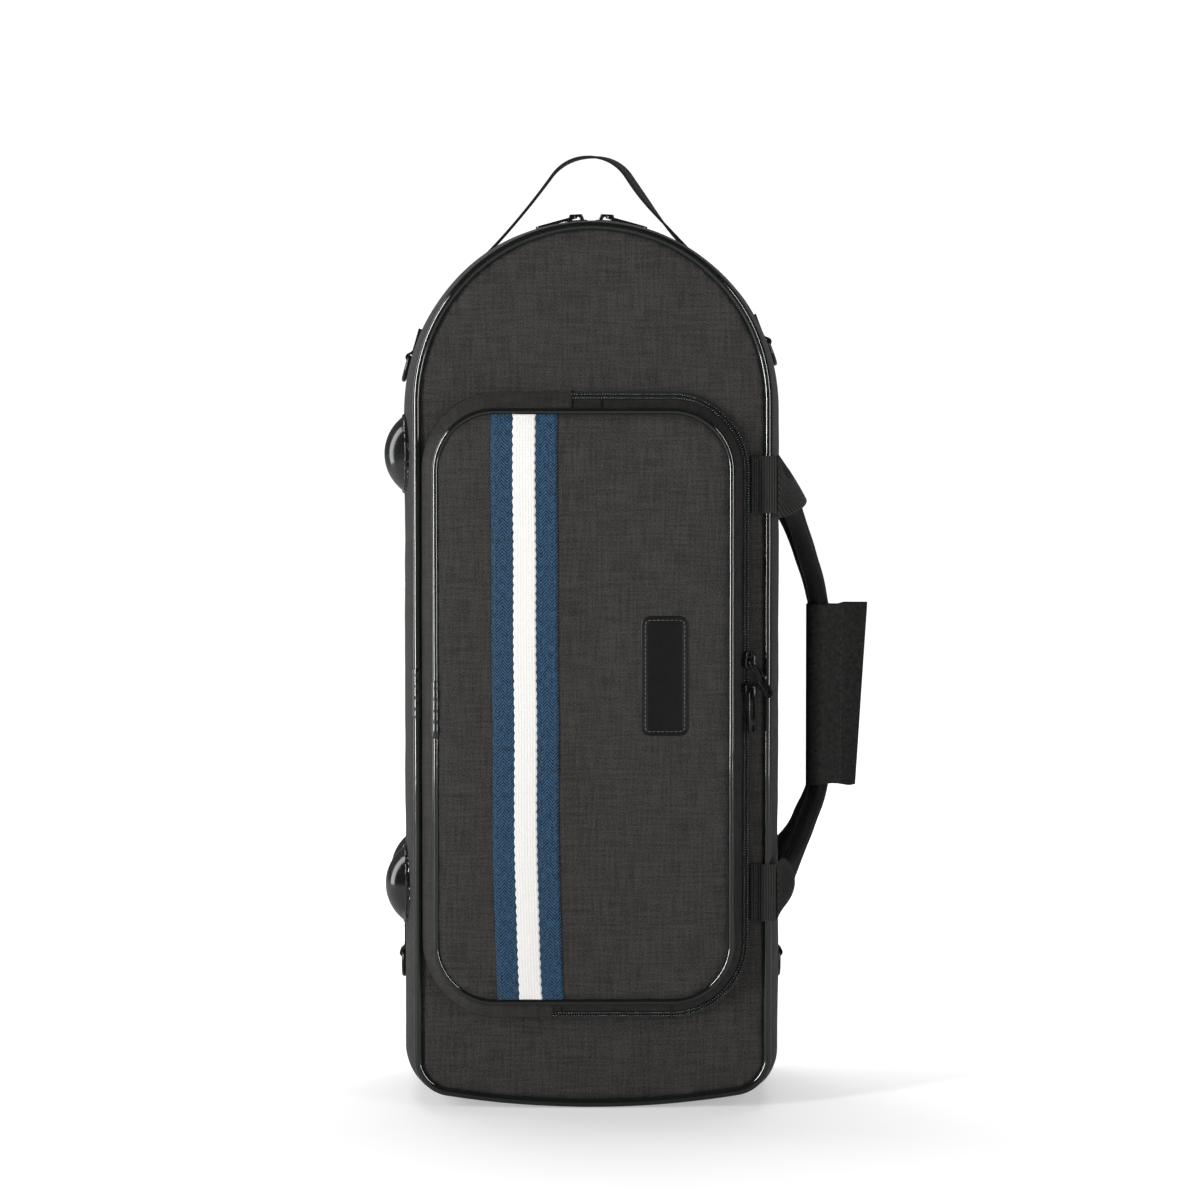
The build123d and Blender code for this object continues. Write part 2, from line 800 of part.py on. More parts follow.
slider_turn = degrees(main_slider_offset / seam_half_width)
main_frames = {}
for name, way in (("left", -1), ("right", 1)):
    angle = radians(way * slider_turn)
    out = Vector(sin(angle), 0, cos(angle))
    tape_radius = seam_half_width - foam_inset
    place = Vector(0, 0, seam_centre_z) + out * tape_radius
    main_frames[name] = Plane(origin=place, x_dir=Vector(cos(angle), 0, -sin(angle)) * -way, z_dir=out)
    base_side = -way
    save(slider(main_frames[name], base_side, slider_bottom_width / 2), f"main_slider_{name}")

main_pullers = {name: lying(frame, -1, lift=-puller_rest_angle) for name, frame in main_frames.items()}
for name, frame in main_pullers.items():
    save(puller(frame), f"main_puller_{name}")

pocket_frames = {}
for name, height, way in (("high", pocket_slider_high, -1), ("low", pocket_slider_low, 1)):
    place = Vector(pocket_right + pocket_chain_spread, -half_depth - chain_rise, height)
    out = Vector(slope_normal[0], -slope_normal[1], 0)
    pocket_frames[name] = Plane(origin=place, x_dir=Vector(0, 0, way), z_dir=out)
    flap_way = way
    save(slider(pocket_frames[name], flap_way, chain_gap - slider_clearance), f"pocket_slider_{name}")

pocket_pullers = {
    "high": lying(pocket_frames["high"], 1, high_puller_turn, high_puller_lift, high_puller_shift),
    "low": lying(pocket_frames["low"], -1),
}
for name, frame in pocket_pullers.items():
    save(puller(frame), f"pocket_puller_{name}")


# ---------------------------------------------------------------- carrying handles

tab_seat_rise = bond_gap + webbing_thickness / 2
tab_top_rise = piping_radius - piping_setback + slider_clearance + webbing_thickness / 2
tab_inner_x = pocket_right + pocket_spread + tab_clearance
tab_outer_x = edge_half_width + tab_end_beyond_edge
tab_ramp_end_x = edge_half_width - piping_inset - piping_radius - tab_clearance
handle_hinge_y = half_depth + tab_top_rise
handle_levels = ((handle_top_z, grip_high_z), (handle_low_z, grip_low_z))
handle_start = Vector(tab_outer_x + handle_hinge_gap, -handle_hinge_y, 0)
handle_run = Vector(grip_x, -grip_y, 0) - handle_start
handle_way = handle_run.normalized()

# Sections of the webbing from the root to the grip: share of the run, share of the
# drop, lean of the path below level, width and thickness
handle_sections = (
    (0.0, 0.0, 0, handle_width, webbing_thickness),
    (0.16, 0.05, 22, 0.84 * handle_width, 2.6 * webbing_thickness),
    (0.4, 0.26, 44, 0.56 * handle_width, 6 * webbing_thickness),
    (0.7, 0.58, 52, 1.16 * grip_tube, 0.88 * grip_tube),
    (0.93, 0.87, 74, grip_tube, grip_tube),
    (1.0, 1.0, 90, grip_tube, grip_tube),
)


def handle_tabs():
    """The two sewn ends of the front handle, each lifted over the piping."""
    half = webbing_thickness / 2
    middle = (
        (tab_inner_x, tab_seat_rise),
        (tab_ramp_end_x - tab_ramp, tab_seat_rise),
        (tab_ramp_end_x, tab_top_rise),
        (tab_outer_x, tab_top_rise),
    )
    near = [(x, -half_depth - rise + half) for x, rise in middle]
    far = [(x, -half_depth - rise - half) for x, rise in reversed(middle)]
    tabs = []
    for root_z, _ in handle_levels:
        with BuildPart() as tab:
            with BuildSketch(Plane.XY.offset(root_z - handle_width / 2)):
                Polygon(*near, *far, align=None)
            extrude(amount=handle_width)
        tabs.append(tab.part)
    return group(tabs)


def handle():
    """Front handle: flat webbing at its roots that folds round into a tube for the grip."""
    with BuildPart() as body:
        with BuildSketch(Plane.XY.offset(grip_low_z)):
            with Locations((grip_x, -grip_y)):
                facing = degrees(atan2(handle_way.Y, handle_way.X))
                RectangleRounded(grip_tube, grip_tube, roundness * grip_tube, rotation=facing)
        extrude(amount=grip_high_z - grip_low_z)
    ends = []
    for root_z, grip_z in handle_levels:
        fall = grip_z - root_z
        turn = 1 if fall > 0 else -1
        with BuildPart() as end:
            for run_share, drop_share, lean, width, thickness in handle_sections:
                ahead = handle_way * cos(radians(lean)) + Vector(0, 0, turn * sin(radians(lean)))
                side = Vector(0, 0, cos(radians(lean))) - handle_way * turn * sin(radians(lean))
                place = handle_start + handle_run * run_share + Vector(0, 0, root_z + fall * drop_share)
                with BuildSketch(Plane(origin=place, x_dir=side, z_dir=ahead)):
                    RectangleRounded(width, thickness, roundness * min(width, thickness))
            loft()
        ends.append(end.part)
    return body.part + ends[0] + ends[1]


front_tabs = handle_tabs()
front_handle = handle()
save(front_tabs, "front_handle_tabs")
save(group([mirror(tab, about=Plane.XZ) for tab in front_tabs.solids()]), "rear_handle_tabs")
save(front_handle, "front_handle")
save(mirror(front_handle, about=Plane.XZ), "rear_handle")

wrap_bore = grip_tube / 2 + wrap_gap
with BuildPart() as wrap:
    with BuildSketch(Plane.XY.offset(grip_low_z)) as wrap_section:
        with Locations((grip_x, -grip_y)):
            Circle(wrap_bore + wrap_wall)
        with Locations(((grip_x + wrap_flap_reach) / 2, -grip_y)):
            Rectangle(wrap_flap_reach - grip_x, wrap_flap_thickness)
        inner_corners = wrap_section.vertices().group_by(Axis.X)[0]
        fillet(inner_corners, wrap_neck)
        with Locations((grip_x, -grip_y)):
            Circle(wrap_bore, mode=Mode.SUBTRACT)
    extrude(amount=grip_high_z - grip_low_z)
save(wrap.part, "handle_wrap")


# ---------------------------------------------------------------- hanging loop

loop_edge_y = loop_y - loop_width / 2
loop_wall = half_width(loop_edge_y) + tab_clearance
loop_radius = loop_wall + webbing_thickness / 2
loop_centre_z = edge_top + top_bulge * swell(loop_edge_y) - half_width(loop_edge_y)
loop_slope = radians(loop_lift_angle)
loop_lift = Vector(loop_radius * sin(loop_slope), loop_centre_z + loop_radius * cos(loop_slope))
loop_up = Vector(-cos(loop_slope), sin(loop_slope))
loop_straight = (loop_radius - loop_top_radius) * tan(loop_slope)
loop_top_centre = (0, loop_centre_z + (loop_radius - loop_top_radius) / cos(loop_slope))
loop_hinge = loop_lift + loop_up * loop_stub_length

with BuildPart() as whole_loop:
    with BuildSketch(depth_plane(loop_edge_y)):
        with BuildLine():
            right_end = loop_lift + loop_up * loop_straight
            sewn_start = 90 - loop_lift_angle - loop_sewn_angle
            CenterArc((0, loop_centre_z), loop_radius, sewn_start, loop_sewn_angle)
            Line(loop_lift, right_end)
            CenterArc(loop_top_centre, loop_top_radius, 90 - loop_lift_angle, 2 * loop_lift_angle)
            Line((-right_end.X, right_end.Y), (-loop_lift.X, loop_lift.Y))
            CenterArc((0, loop_centre_z), loop_radius, 90 + loop_lift_angle, loop_sewn_angle)
        trace(line_width=webbing_thickness)
    extrude(amount=-loop_width)


def loop_bend(radius):
    """Round bar along X on the line where the loop bends to the front and the back."""
    with BuildPart() as bar:
        with BuildSketch(Plane.YZ):
            with Locations((loop_y, loop_hinge.Y)):
                Circle(radius)
        extrude(amount=seam_half_width, both=True)
    return bar.part


bend_radius = loop_width / 2 + loop_bend_margin
over_bend = slab(-big, big, z_from=loop_hinge.Y, z_to=big)
save(group((whole_loop.part - (over_bend - loop_bend(bend_radius))).solids()), "hanging_loop_ends")
save((whole_loop.part & over_bend) - loop_bend(bend_radius + loop_hinge_gap), "hanging_loop")


# ---------------------------------------------------------------- strap rings

ring_stand = bond_gap + ring_tab_thickness + ring_clearance + ring_wire
ring_places = {}
ring_wall = half_width(ring_y)
ring_arch_z = edge_top + top_bulge * swell(ring_y) - ring_wall
for name, way, angle in (("right", 1, ring_right_angle), ("left", -1, ring_left_angle)):
    out = Vector(way * cos(radians(angle)), 0, sin(radians(angle)))
    down = Vector(way * sin(radians(angle)), 0, -cos(radians(angle)))
    place = Vector(0, ring_y, ring_arch_z) + out * (ring_wall + ring_wall_gap)
    ring_places[f"high_{name}"] = Plane(origin=place, x_dir=down, z_dir=out)
    place = Vector(way * (ring_wall + ring_wall_gap), ring_y, ring_low_z)
    ring_places[f"low_{name}"] = Plane(origin=place, x_dir=(0, 0, -1), z_dir=(way, 0, 0))


def strap_ring(frame):
    """D-shaped wire ring: a straight bar along Y and a round bow hanging from it."""
    half = ring_width / 2 - ring_wire
    level = frame.offset(ring_stand)
    with BuildPart() as ring:
        with BuildLine(level) as path:
            corners = ((ring_drop - half, half), (0, half), (0, -half), (ring_drop - half, -half))
            FilletPolyline(*corners, radius=ring_bar_corner)
            CenterArc((ring_drop - half, 0), half, -90, 180)
        bow = path.wire()
        with BuildSketch(Plane(origin=bow @ 0, z_dir=bow % 0)):
            Circle(ring_wire)
        sweep(path=bow)
    return ring.part


def ring_tab(frame):
    """Webbing folded round the ring's bar, its two layers sewn flat to the wall."""
    eye = ring_wire + ring_clearance
    side_view = Plane(origin=frame.origin, x_dir=frame.x_dir, z_dir=-frame.y_dir)
    with BuildPart() as tab:
        with BuildSketch(side_view):
            with BuildLine():
                CenterArc((0, ring_stand), eye + ring_tab_thickness, 0, 360)
                flat_end = bond_gap + 2 * ring_tab_thickness
                far = -ring_tab_length
                Polyline((far, bond_gap), (far, flat_end), (far / 2, flat_end))
            make_hull()
            with Locations((0, ring_stand)):
                Circle(eye, mode=Mode.SUBTRACT)
        extrude(amount=ring_tab_width / 2, both=True)
    return tab.part


for name, frame in ring_places.items():
    save(strap_ring(frame), f"strap_ring_{name}")
save(group([ring_tab(frame) for frame in ring_places.values()]), "strap_ring_tabs")


# ---------------------------------------------------------------- inside

insert_back = foam_floor - lining_thickness - 2 * bond_gap


def recess(x, width, low, high, depth, corner):
    """Straight-walled hollow, cut back from the insert's front face."""
    with BuildPart() as hollow:
        with BuildSketch(depth_plane(insert_front)):
            with Locations((x, (low + high) / 2)):
                RectangleRounded(width, high - low, corner)
        extrude(amount=-depth)
    return hollow.part


with BuildPart() as bell:
    with BuildSketch(Plane(origin=(bell_x, bell_axis_y, 0), x_dir=(1, 0, 0), z_dir=(0, -1, 0))):
        with BuildLine():
            rim = (bell_rim_radius, bell_rim_z + bell_rim_height)
            throat = (bell_throat_radius, bell_throat_z)
            Spline(rim, (bell_mid_radius, bell_mid_z), throat, tangents=(bell_rim_lean, (0, 1)))
            tube_end = loops_low + loops_corner
            low_corner = (bell_rim_radius, bell_rim_z)
            high_corner = (bell_throat_radius, tube_end)
            Polyline(rim, low_corner, (0, bell_rim_z), (0, tube_end), high_corner, throat)
        make_face()
    revolve(axis=Axis((bell_x, bell_axis_y, 0), (0, 0, 1)))

leadpipe_low = loops_high - leadpipe_width
insert_space = filled_case(inner_inset + bond_gap) & slab(insert_front, insert_back)
hollows = [
    bell.part,
    recess(loops_x, loops_width, loops_low, loops_high, loops_depth, loops_corner),
    recess(valves_x, valves_width, valves_low, valves_high, valves_depth, cavity_corner),
    recess(loops_x, leadpipe_width, leadpipe_low, leadpipe_high, leadpipe_depth, cavity_corner),
    recess(box_x, box_width, box_low, box_high, box_depth, cavity_corner),
]

with BuildPart() as insert:
    add(insert_space)
    add(hollows, mode=Mode.SUBTRACT)
    for height in mouthpiece_zs:
        with Locations(Plane(origin=(mouthpiece_x, insert_front, height), x_dir=(1, 0, 0), z_dir=(0, -1, 0))):
            CounterBoreHole(
                mouthpiece_shank_radius,
                mouthpiece_cup_radius,
                mouthpiece_cup_depth,
                mouthpiece_shank_depth,
            )

# The top block is glued up from strips, so the mouthpiece holes are cut as two half rounds
insert_levels = (-big, insert_split_low, insert_split_high, big)
glue_lines = (-big, mouthpiece_strip_left, mouthpiece_x, big)
for name, low, high in zip(("bell", "valve", "leadpipe"), insert_levels, insert_levels[1:]):
    block = insert.part & slab(-big, big, z_from=low + bond_gap / 2, z_to=high - bond_gap / 2)
    if name == "leadpipe":
        strips = zip(glue_lines, glue_lines[1:])
        block = group([block & slab(-big, big, x + bond_gap / 2, end - bond_gap / 2) for x, end in strips])
    save(block, f"insert_{name}_block")

flap_right = box_x + box_width / 2 + flap_overlap
flap_left = box_x - box_width / 2 - flap_overlap
flap_back = insert_front - flap_gap
flap_face = flap_back - flap_thickness
with BuildPart() as flap:
    with BuildSketch(depth_plane(flap_back)):
        with Locations((box_x, (box_low + box_high) / 2)):
            RectangleRounded(flap_right - flap_left, box_high - box_low + 2 * flap_overlap, cavity_corner)
    extrude(amount=flap_thickness)
    with BuildSketch(depth_plane(flap_face)):
        with Locations((flap_left + pull_tab_length / 2 - pull_tab_overhang, (box_low + box_high) / 2)):
            RectangleRounded(pull_tab_length, pull_tab_width, pull_tab_corner)
    extrude(amount=pull_tab_thickness)
save(flap.part, "accessory_flap")

strap_left = loops_x - leadpipe_width / 2 - strap_overhang
strap_right = loops_x + leadpipe_width / 2 + strap_overhang
strap_back = insert_front - bond_gap
with BuildPart() as strap:
    with BuildSketch(depth_plane(strap_back)):
        with Locations(((strap_left + strap_right) / 2, strap_z)):
            outline = Rectangle(strap_right - strap_left, strap_width)
        fillet(outline.vertices().group_by(Axis.X)[-1], strap_corner)
    extrude(amount=strap_thickness)
save(strap.part, "holding_strap")
with BuildPart() as anchor:
    with BuildSketch(depth_plane(strap_back)):
        with Locations((strap_left - loop_hinge_gap - strap_tab_length / 2, strap_z)):
            Rectangle(strap_tab_length, strap_width)
    extrude(amount=strap_thickness)
save(anchor.part, "holding_strap_anchor")
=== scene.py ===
"""Dresses the trumpet case: cloth, piping, zippers, webbing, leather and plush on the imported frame.

Lengths inside the modelling functions are millimetres; every mesh is written in metres.
X runs to the right, Y to the back and Z up; the lid is at the front.
"""

import json
import math

import bpy
import numpy as np
from bpy.props import FloatProperty, FloatVectorProperty, IntProperty, PointerProperty
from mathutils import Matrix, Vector, geometry, noise

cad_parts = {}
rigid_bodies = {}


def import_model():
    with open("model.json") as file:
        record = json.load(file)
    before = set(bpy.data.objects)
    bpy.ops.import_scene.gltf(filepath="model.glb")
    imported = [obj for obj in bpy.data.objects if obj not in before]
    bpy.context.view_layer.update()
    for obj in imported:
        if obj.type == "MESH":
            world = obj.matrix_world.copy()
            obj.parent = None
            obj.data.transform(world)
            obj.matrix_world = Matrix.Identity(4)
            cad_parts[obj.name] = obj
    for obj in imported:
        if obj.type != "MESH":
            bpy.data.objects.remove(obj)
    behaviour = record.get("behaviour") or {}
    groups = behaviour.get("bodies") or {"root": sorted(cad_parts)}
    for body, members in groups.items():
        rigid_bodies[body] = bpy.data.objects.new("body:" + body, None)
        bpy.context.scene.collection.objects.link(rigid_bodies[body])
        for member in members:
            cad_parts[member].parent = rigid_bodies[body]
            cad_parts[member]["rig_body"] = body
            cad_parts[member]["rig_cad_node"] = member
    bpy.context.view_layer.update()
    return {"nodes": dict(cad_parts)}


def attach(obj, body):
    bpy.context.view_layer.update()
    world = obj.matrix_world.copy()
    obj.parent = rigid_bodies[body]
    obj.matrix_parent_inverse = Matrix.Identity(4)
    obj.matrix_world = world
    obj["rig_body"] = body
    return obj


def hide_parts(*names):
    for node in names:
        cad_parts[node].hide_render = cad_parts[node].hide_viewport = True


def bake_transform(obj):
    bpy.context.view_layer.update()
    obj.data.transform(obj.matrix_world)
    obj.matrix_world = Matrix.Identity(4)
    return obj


bl_info = {
    "name": "Trumpet case",
    "version": (1, 0, 0),
    "blender": (4, 5, 0),
    "location": "View3D > Sidebar > Trumpet case",
    "description": "Cloth, trim and hardware of a soft upright trumpet case",
    "category": "Object",
}

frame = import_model()
MM = 0.001

# Shell: its edge, the arc and corners of its foot, the bulge of its walls, and the hinge's and bottom cover's spans
HALF_DEPTH, EDGE_HALF, EDGE_TOP, EDGE_LIFT = 75.0, 111.6, 553.6, 1.0
BOTTOM_ARC, FLATTER, CORNER = 420.0, 160.0, 24.0
SIDE_BULGE, TOP_BULGE, BOTTOM_BULGE, BULGE_POWER = 8.0, 4.0, 5.0, 2.6
SEAM_Z = EDGE_TOP + TOP_BULGE - EDGE_HALF - SIDE_BULGE
HINGE_LOW, HINGE_HIGH, BOTTOM_COVER = 62.0, 432.0, 80.0

# Pocket, measured at the middle of its piping; its wall slopes from SLOPE_TOP to SLOPE_FOOT, each a spread and a rise
POCKET_LEFT, POCKET_RIGHT, POCKET_LOW, POCKET_HIGH, POCKET_CORNER = -97.4, 86.0, 69.5, 436.5, 37.0
POCKET_MIDDLE = (POCKET_LOW + POCKET_HIGH) / 2
POCKET_RISE, FOOT_SPREAD, FOOT_SPREAD_LEFT, CHAIN_SPREAD = 18.0, 12.0, 9.0, 8.8
FOLD_LOW, FOLD_HIGH = (-20.0, 69.5), (6.0, 436.5)
ZIP_END_LOW, ZIP_END_HIGH = -25.6, -13.3
FOLD_REACH, WALL_RISE = 7.0, 14.4
SLOPE_TOP, SLOPE_FOOT = (1.6, 13.6), (12.0, 0.2)
STRIPE_X, STRIPE_WIDTH, STRIPE_RUN = -42.0, 41.0, (71.4, 434.6)
PATCH_X, PATCH_Z, PATCH_WIDTH, PATCH_HEIGHT = 44.6, 273.0, 29.8, 74.5


# Thicknesses of the sheets
WALL_CLOTH, FACE_CLOTH, POCKET_PAD, POCKET_WALL, CLOSED_WALL, ZIP_END_CLOTH = 1.1, 0.9, 2.2, 0.85, 0.7, 0.9
MAIN_TAPE, POCKET_TAPE, RIBBON, RIBBON_MIDDLE, HINGE_CLOTH, LINING, BINDING = 0.75, 0.8, 0.7, 0.5, 0.8, 0.9, 0.25
HANDLE_FOLD, LOOP_WEBBING, ROOT_WEBBING, WRAP_LEATHER = 1.1, 1.6, 1.25, 1.55

SHELLS = ((-1, "lid", "lid_shell"), (1, "base", "base_shell"))  # side of the seam, name, body


# ---------------------------------------------------------------- settings


def colour(name, description, value):
    """Setting for a base colour."""
    return FloatVectorProperty(
        name=name, description=description, default=value, subtype="COLOR", size=3, min=0, max=1
    )


def length(name, description, value):
    """Setting for a length in metres."""
    return FloatProperty(
        name=name, description=description, default=value, subtype="DISTANCE", unit="LENGTH", min=0, precision=5
    )


class CaseCloth(bpy.types.PropertyGroup):
    shell: colour("Shell cloth", "Warm charcoal of the woven nylon", (0.0295, 0.0279, 0.0256))
    thread_gap: length("Thread spacing", "Distance between the threads of the nylon", 0.0009)
    pucker: length("Pucker", "Height of the small waves beside a seam", 0.00035)
    fullness: length("Fullness", "How far the padded pocket stands out in its middle", 0.0016)
    plush: colour("Plush", "Colour of the lining", (0.012, 0.012, 0.013))


class CaseTrim(bpy.types.PropertyGroup):
    vinyl: colour("Piping", "Colour of the vinyl piping", (0.006, 0.007, 0.007))
    blue: colour("Stripe edge", "Blue of the ribbon", (0.0125, 0.044, 0.086))
    white: colour("Stripe middle", "White of the ribbon", (0.76, 0.75, 0.73))
    leather: colour("Leather", "Colour of the patch", (0.0032, 0.0032, 0.0036))
    webbing: colour("Webbing", "Colour of handles and loop", (0.0075, 0.0073, 0.007))
    stitch: length("Stitch", "Length of one stitch", 0.0026)


class CaseZipper(bpy.types.PropertyGroup):
    pitch: length("Tooth spacing", "Distance between the coil's turns", 0.0016)
    coil: colour("Coil", "Colour of the nylon coil", (0.03, 0.032, 0.032))
    metal: colour("Metal", "Colour of sliders and pullers", (0.045, 0.045, 0.048))
    polish: FloatProperty(
        name="Roughness", description="Roughness of the enamelled metal", default=0.2, min=0, max=1, subtype="FACTOR"
    )


class CaseStage(bpy.types.PropertyGroup):
    floor: colour("Floor", "Colour of the floor", (0.72, 0.72, 0.72))
    glow: FloatProperty(name="Glow", description="Light of the floor away from the case", default=0.9, min=0)
    distance: length("Camera distance", "From the camera to the front panel", 2.2)
    height: length("Camera height", "Above the floor", 0.424)
    pixels: IntProperty(name="Frame width", description="Pixels across the square frame", default=1200, min=64)


# ---------------------------------------------------------------- mesh helpers


def settings():
    """The scene's settings for the case."""
    scene = bpy.context.scene
    return scene.case_cloth, scene.case_trim, scene.case_zipper, scene.case_stage


def deselect():
    """Leaves nothing selected and the view out of edit mode."""
    if bpy.context.object and bpy.context.object.mode != "OBJECT":
        bpy.ops.object.mode_set(mode="OBJECT")
    bpy.ops.object.select_all(action="DESELECT")


def activate(piece):
    """Makes one piece the only selected and active one."""
    deselect()
    piece.select_set(True)
    bpy.context.view_layer.objects.active = piece


def apply_modifier(piece, kind, **values):
    """Adds a modifier with these values and applies it."""
    activate(piece)
    modifier = piece.modifiers.new(kind.title(), kind)
    for key, value in values.items():
        setattr(modifier, key, value)
    bpy.ops.object.modifier_apply(modifier=modifier.name)


def dress(piece, body, slot, material, *nodes):
    """Gives a piece its material, its body and the nodes it stands for. The slot is not used."""
    piece.data.materials.clear()
    piece.data.materials.append(material)
    if body:
        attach(piece, body)
    if nodes:
        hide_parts(*nodes)
    return piece


def mesh_piece(name, points, faces, uvs=None):
    """New object from points in millimetres, with a map in metres called cloth."""
    mesh = bpy.data.meshes.new(name)
    mesh.from_pydata((np.asarray(points, float) * MM).tolist(), [], [list(map(int, f)) for f in faces])
    if uvs is not None:
        layer = mesh.uv_layers.new(name="cloth")
        corners = np.empty(len(mesh.loops), dtype=np.int32)
        mesh.loops.foreach_get("vertex_index", corners)
        values = uvs[corners] if len(uvs) == len(points) else uvs
        layer.data.foreach_set("uv", (np.asarray(values, float) * MM).ravel().astype(np.float32))
    mesh.shade_smooth()
    piece = bpy.data.objects.new(name, mesh)
    bpy.context.scene.collection.objects.link(piece)
    return piece


def grid_faces(rows, columns, closed=False):
    """Quads of a grid, and for each corner its row and column with no wrap-around."""
    last = columns if closed else columns - 1
    r, c = np.meshgrid(np.arange(rows - 1), np.arange(last), indexing="ij")
    r, c = r.ravel(), c.ravel()
    after = (c + 1) % columns
    faces = np.stack([r * columns + c, r * columns + after, (r + 1) * columns + after, (r + 1) * columns + c], 1)
    corners = np.stack([r, c, r, c + 1, r + 1, c + 1, r + 1, c], 1).reshape(-1, 4, 2)
    return faces, corners


def grid_piece(name, grid, along, across, flip=False):
    """Sheet through a grid of points; along and across are the map's lengths."""
    rows, columns = grid.shape[:2]
    faces, corners = grid_faces(rows, columns)
    uvs = np.stack([along[corners[..., 1]], across[corners[..., 0]]], -1)
    if flip:
        faces, uvs = faces[:, ::-1], uvs[:, ::-1]
    return mesh_piece(name, grid.reshape(-1, 3), faces, uvs.reshape(-1, 2))


def running(points, closed=False):
    """Distance along a row of points; a closed row gets one more for its last step."""
    ends = np.vstack([points, points[:1]]) if closed else points
    return np.concatenate([[0], np.cumsum(np.linalg.norm(np.diff(ends, axis=0), axis=1))])


def unit(vectors):
    """Vectors at length one."""
    return vectors / np.maximum(np.linalg.norm(vectors, axis=-1, keepdims=True), 1e-9)


def rough(points, scale, seed=0.0):
    """Smooth noise from -1 to 1 at points in millimetres."""
    return np.array([noise.noise(Vector(p) * scale + Vector((seed, seed * 1.7, -seed))) for p in points])


def thicken(piece, thickness):
    """Gives a sheet its thickness, to the inside."""
    apply_modifier(piece, "SOLIDIFY", thickness=thickness * MM, offset=-1.0, use_even_offset=False)
    return piece


def plied(piece, thickness, edge=None):
    """Gives webbing or leather its thickness, half to each side, and rounds its edges."""
    apply_modifier(piece, "SOLIDIFY", thickness=thickness * MM, offset=0.0, use_even_offset=True)
    outward(piece)
    if edge:
        limit = math.radians(50)
        apply_modifier(piece, "BEVEL", width=edge * MM, segments=2, limit_method="ANGLE", angle_limit=limit)
    piece.data.shade_smooth()


def carried_sides(points, closed, start):
    """Two side directions carried along a path without twist, the first as near to start as it can be."""
    count = len(points)
    if closed:
        tangents = unit(np.roll(points, -1, 0) - np.roll(points, 1, 0))
    else:
        tangents = unit(np.gradient(points, axis=0))
    side = np.array(start, float)
    sides = np.empty((count, 3))
    for i in range(count):
        side = side - tangents[i] * side.dot(tangents[i])
        side = side / np.linalg.norm(side)
        sides[i] = side
    return sides, np.cross(tangents, sides)


def tube_piece(name, points, radii, closed, count, start=(0.0, 1.0, 0.0)):
    """Round bar along points, mapped along and around."""
    points = np.asarray(points, float)
    radii = np.broadcast_to(np.asarray(radii, float), len(points))
    sides, ups = carried_sides(points, closed, start)
    angles = np.linspace(0, 2 * math.pi, count, endpoint=False)
    ring = sides[:, None] * np.cos(angles)[None, :, None] + ups[:, None] * np.sin(angles)[None, :, None]
    grid = (points[:, None] + ring * radii[:, None, None]).transpose(1, 0, 2)
    along = running(points, closed)
    around = angles * float(np.mean(radii))
    around = np.append(around, 2 * math.pi * float(np.mean(radii)))
    return round_piece(name, grid, along, around, closed)


def round_piece(name, grid, along, around, closed=False):
    """Bar through a grid that meets itself round the bar, with a cap at each end unless closed."""
    rows, columns = grid.shape[:2]
    faces, corners = grid_faces(rows + 1, columns, closed)
    faces = np.where(faces >= rows * columns, faces - rows * columns, faces)
    uvs = np.stack([along[corners[..., 1]], around[corners[..., 0]]], -1).reshape(-1, 2)
    faces = [list(f) for f in faces]
    if not closed:
        first = [r * columns for r in range(rows)]
        last = [r * columns + columns - 1 for r in range(rows)][::-1]
        faces += [first, last]
        uvs = np.vstack([uvs, np.zeros((2 * rows, 2))])
    piece = mesh_piece(name, grid.reshape(-1, 3), faces, uvs)
    outward(piece)
    return piece


def outward(piece):
    """Turns a closed piece's faces outwards."""
    activate(piece)
    bpy.ops.object.mode_set(mode="EDIT")
    bpy.ops.mesh.select_all(action="SELECT")
    bpy.ops.mesh.normals_make_consistent(inside=False)
    bpy.ops.object.mode_set(mode="OBJECT")


def turn_to(piece, way, share=0.0):
    """Turns a sheet's faces over unless the face at this share of its list looks the given way."""
    faces = piece.data.polygons
    if faces[int(len(faces) * share)].normal.dot(way) < 0:
        piece.data.flip_normals()


def turn_wall(piece, height, outwards):
    """Turns a wall's faces away from a line from front to back at this height, or towards it."""
    middle = piece.data.polygons[len(piece.data.polygons) // 2]
    away = middle.normal.dot(middle.center - Vector((0, middle.center.y, height * MM)))
    if (away < 0) == outwards:
        piece.data.flip_normals()


def looped(grid):
    """Grid whose rows run on to their first point."""
    return np.concatenate([grid, grid[:, :1]], 1)


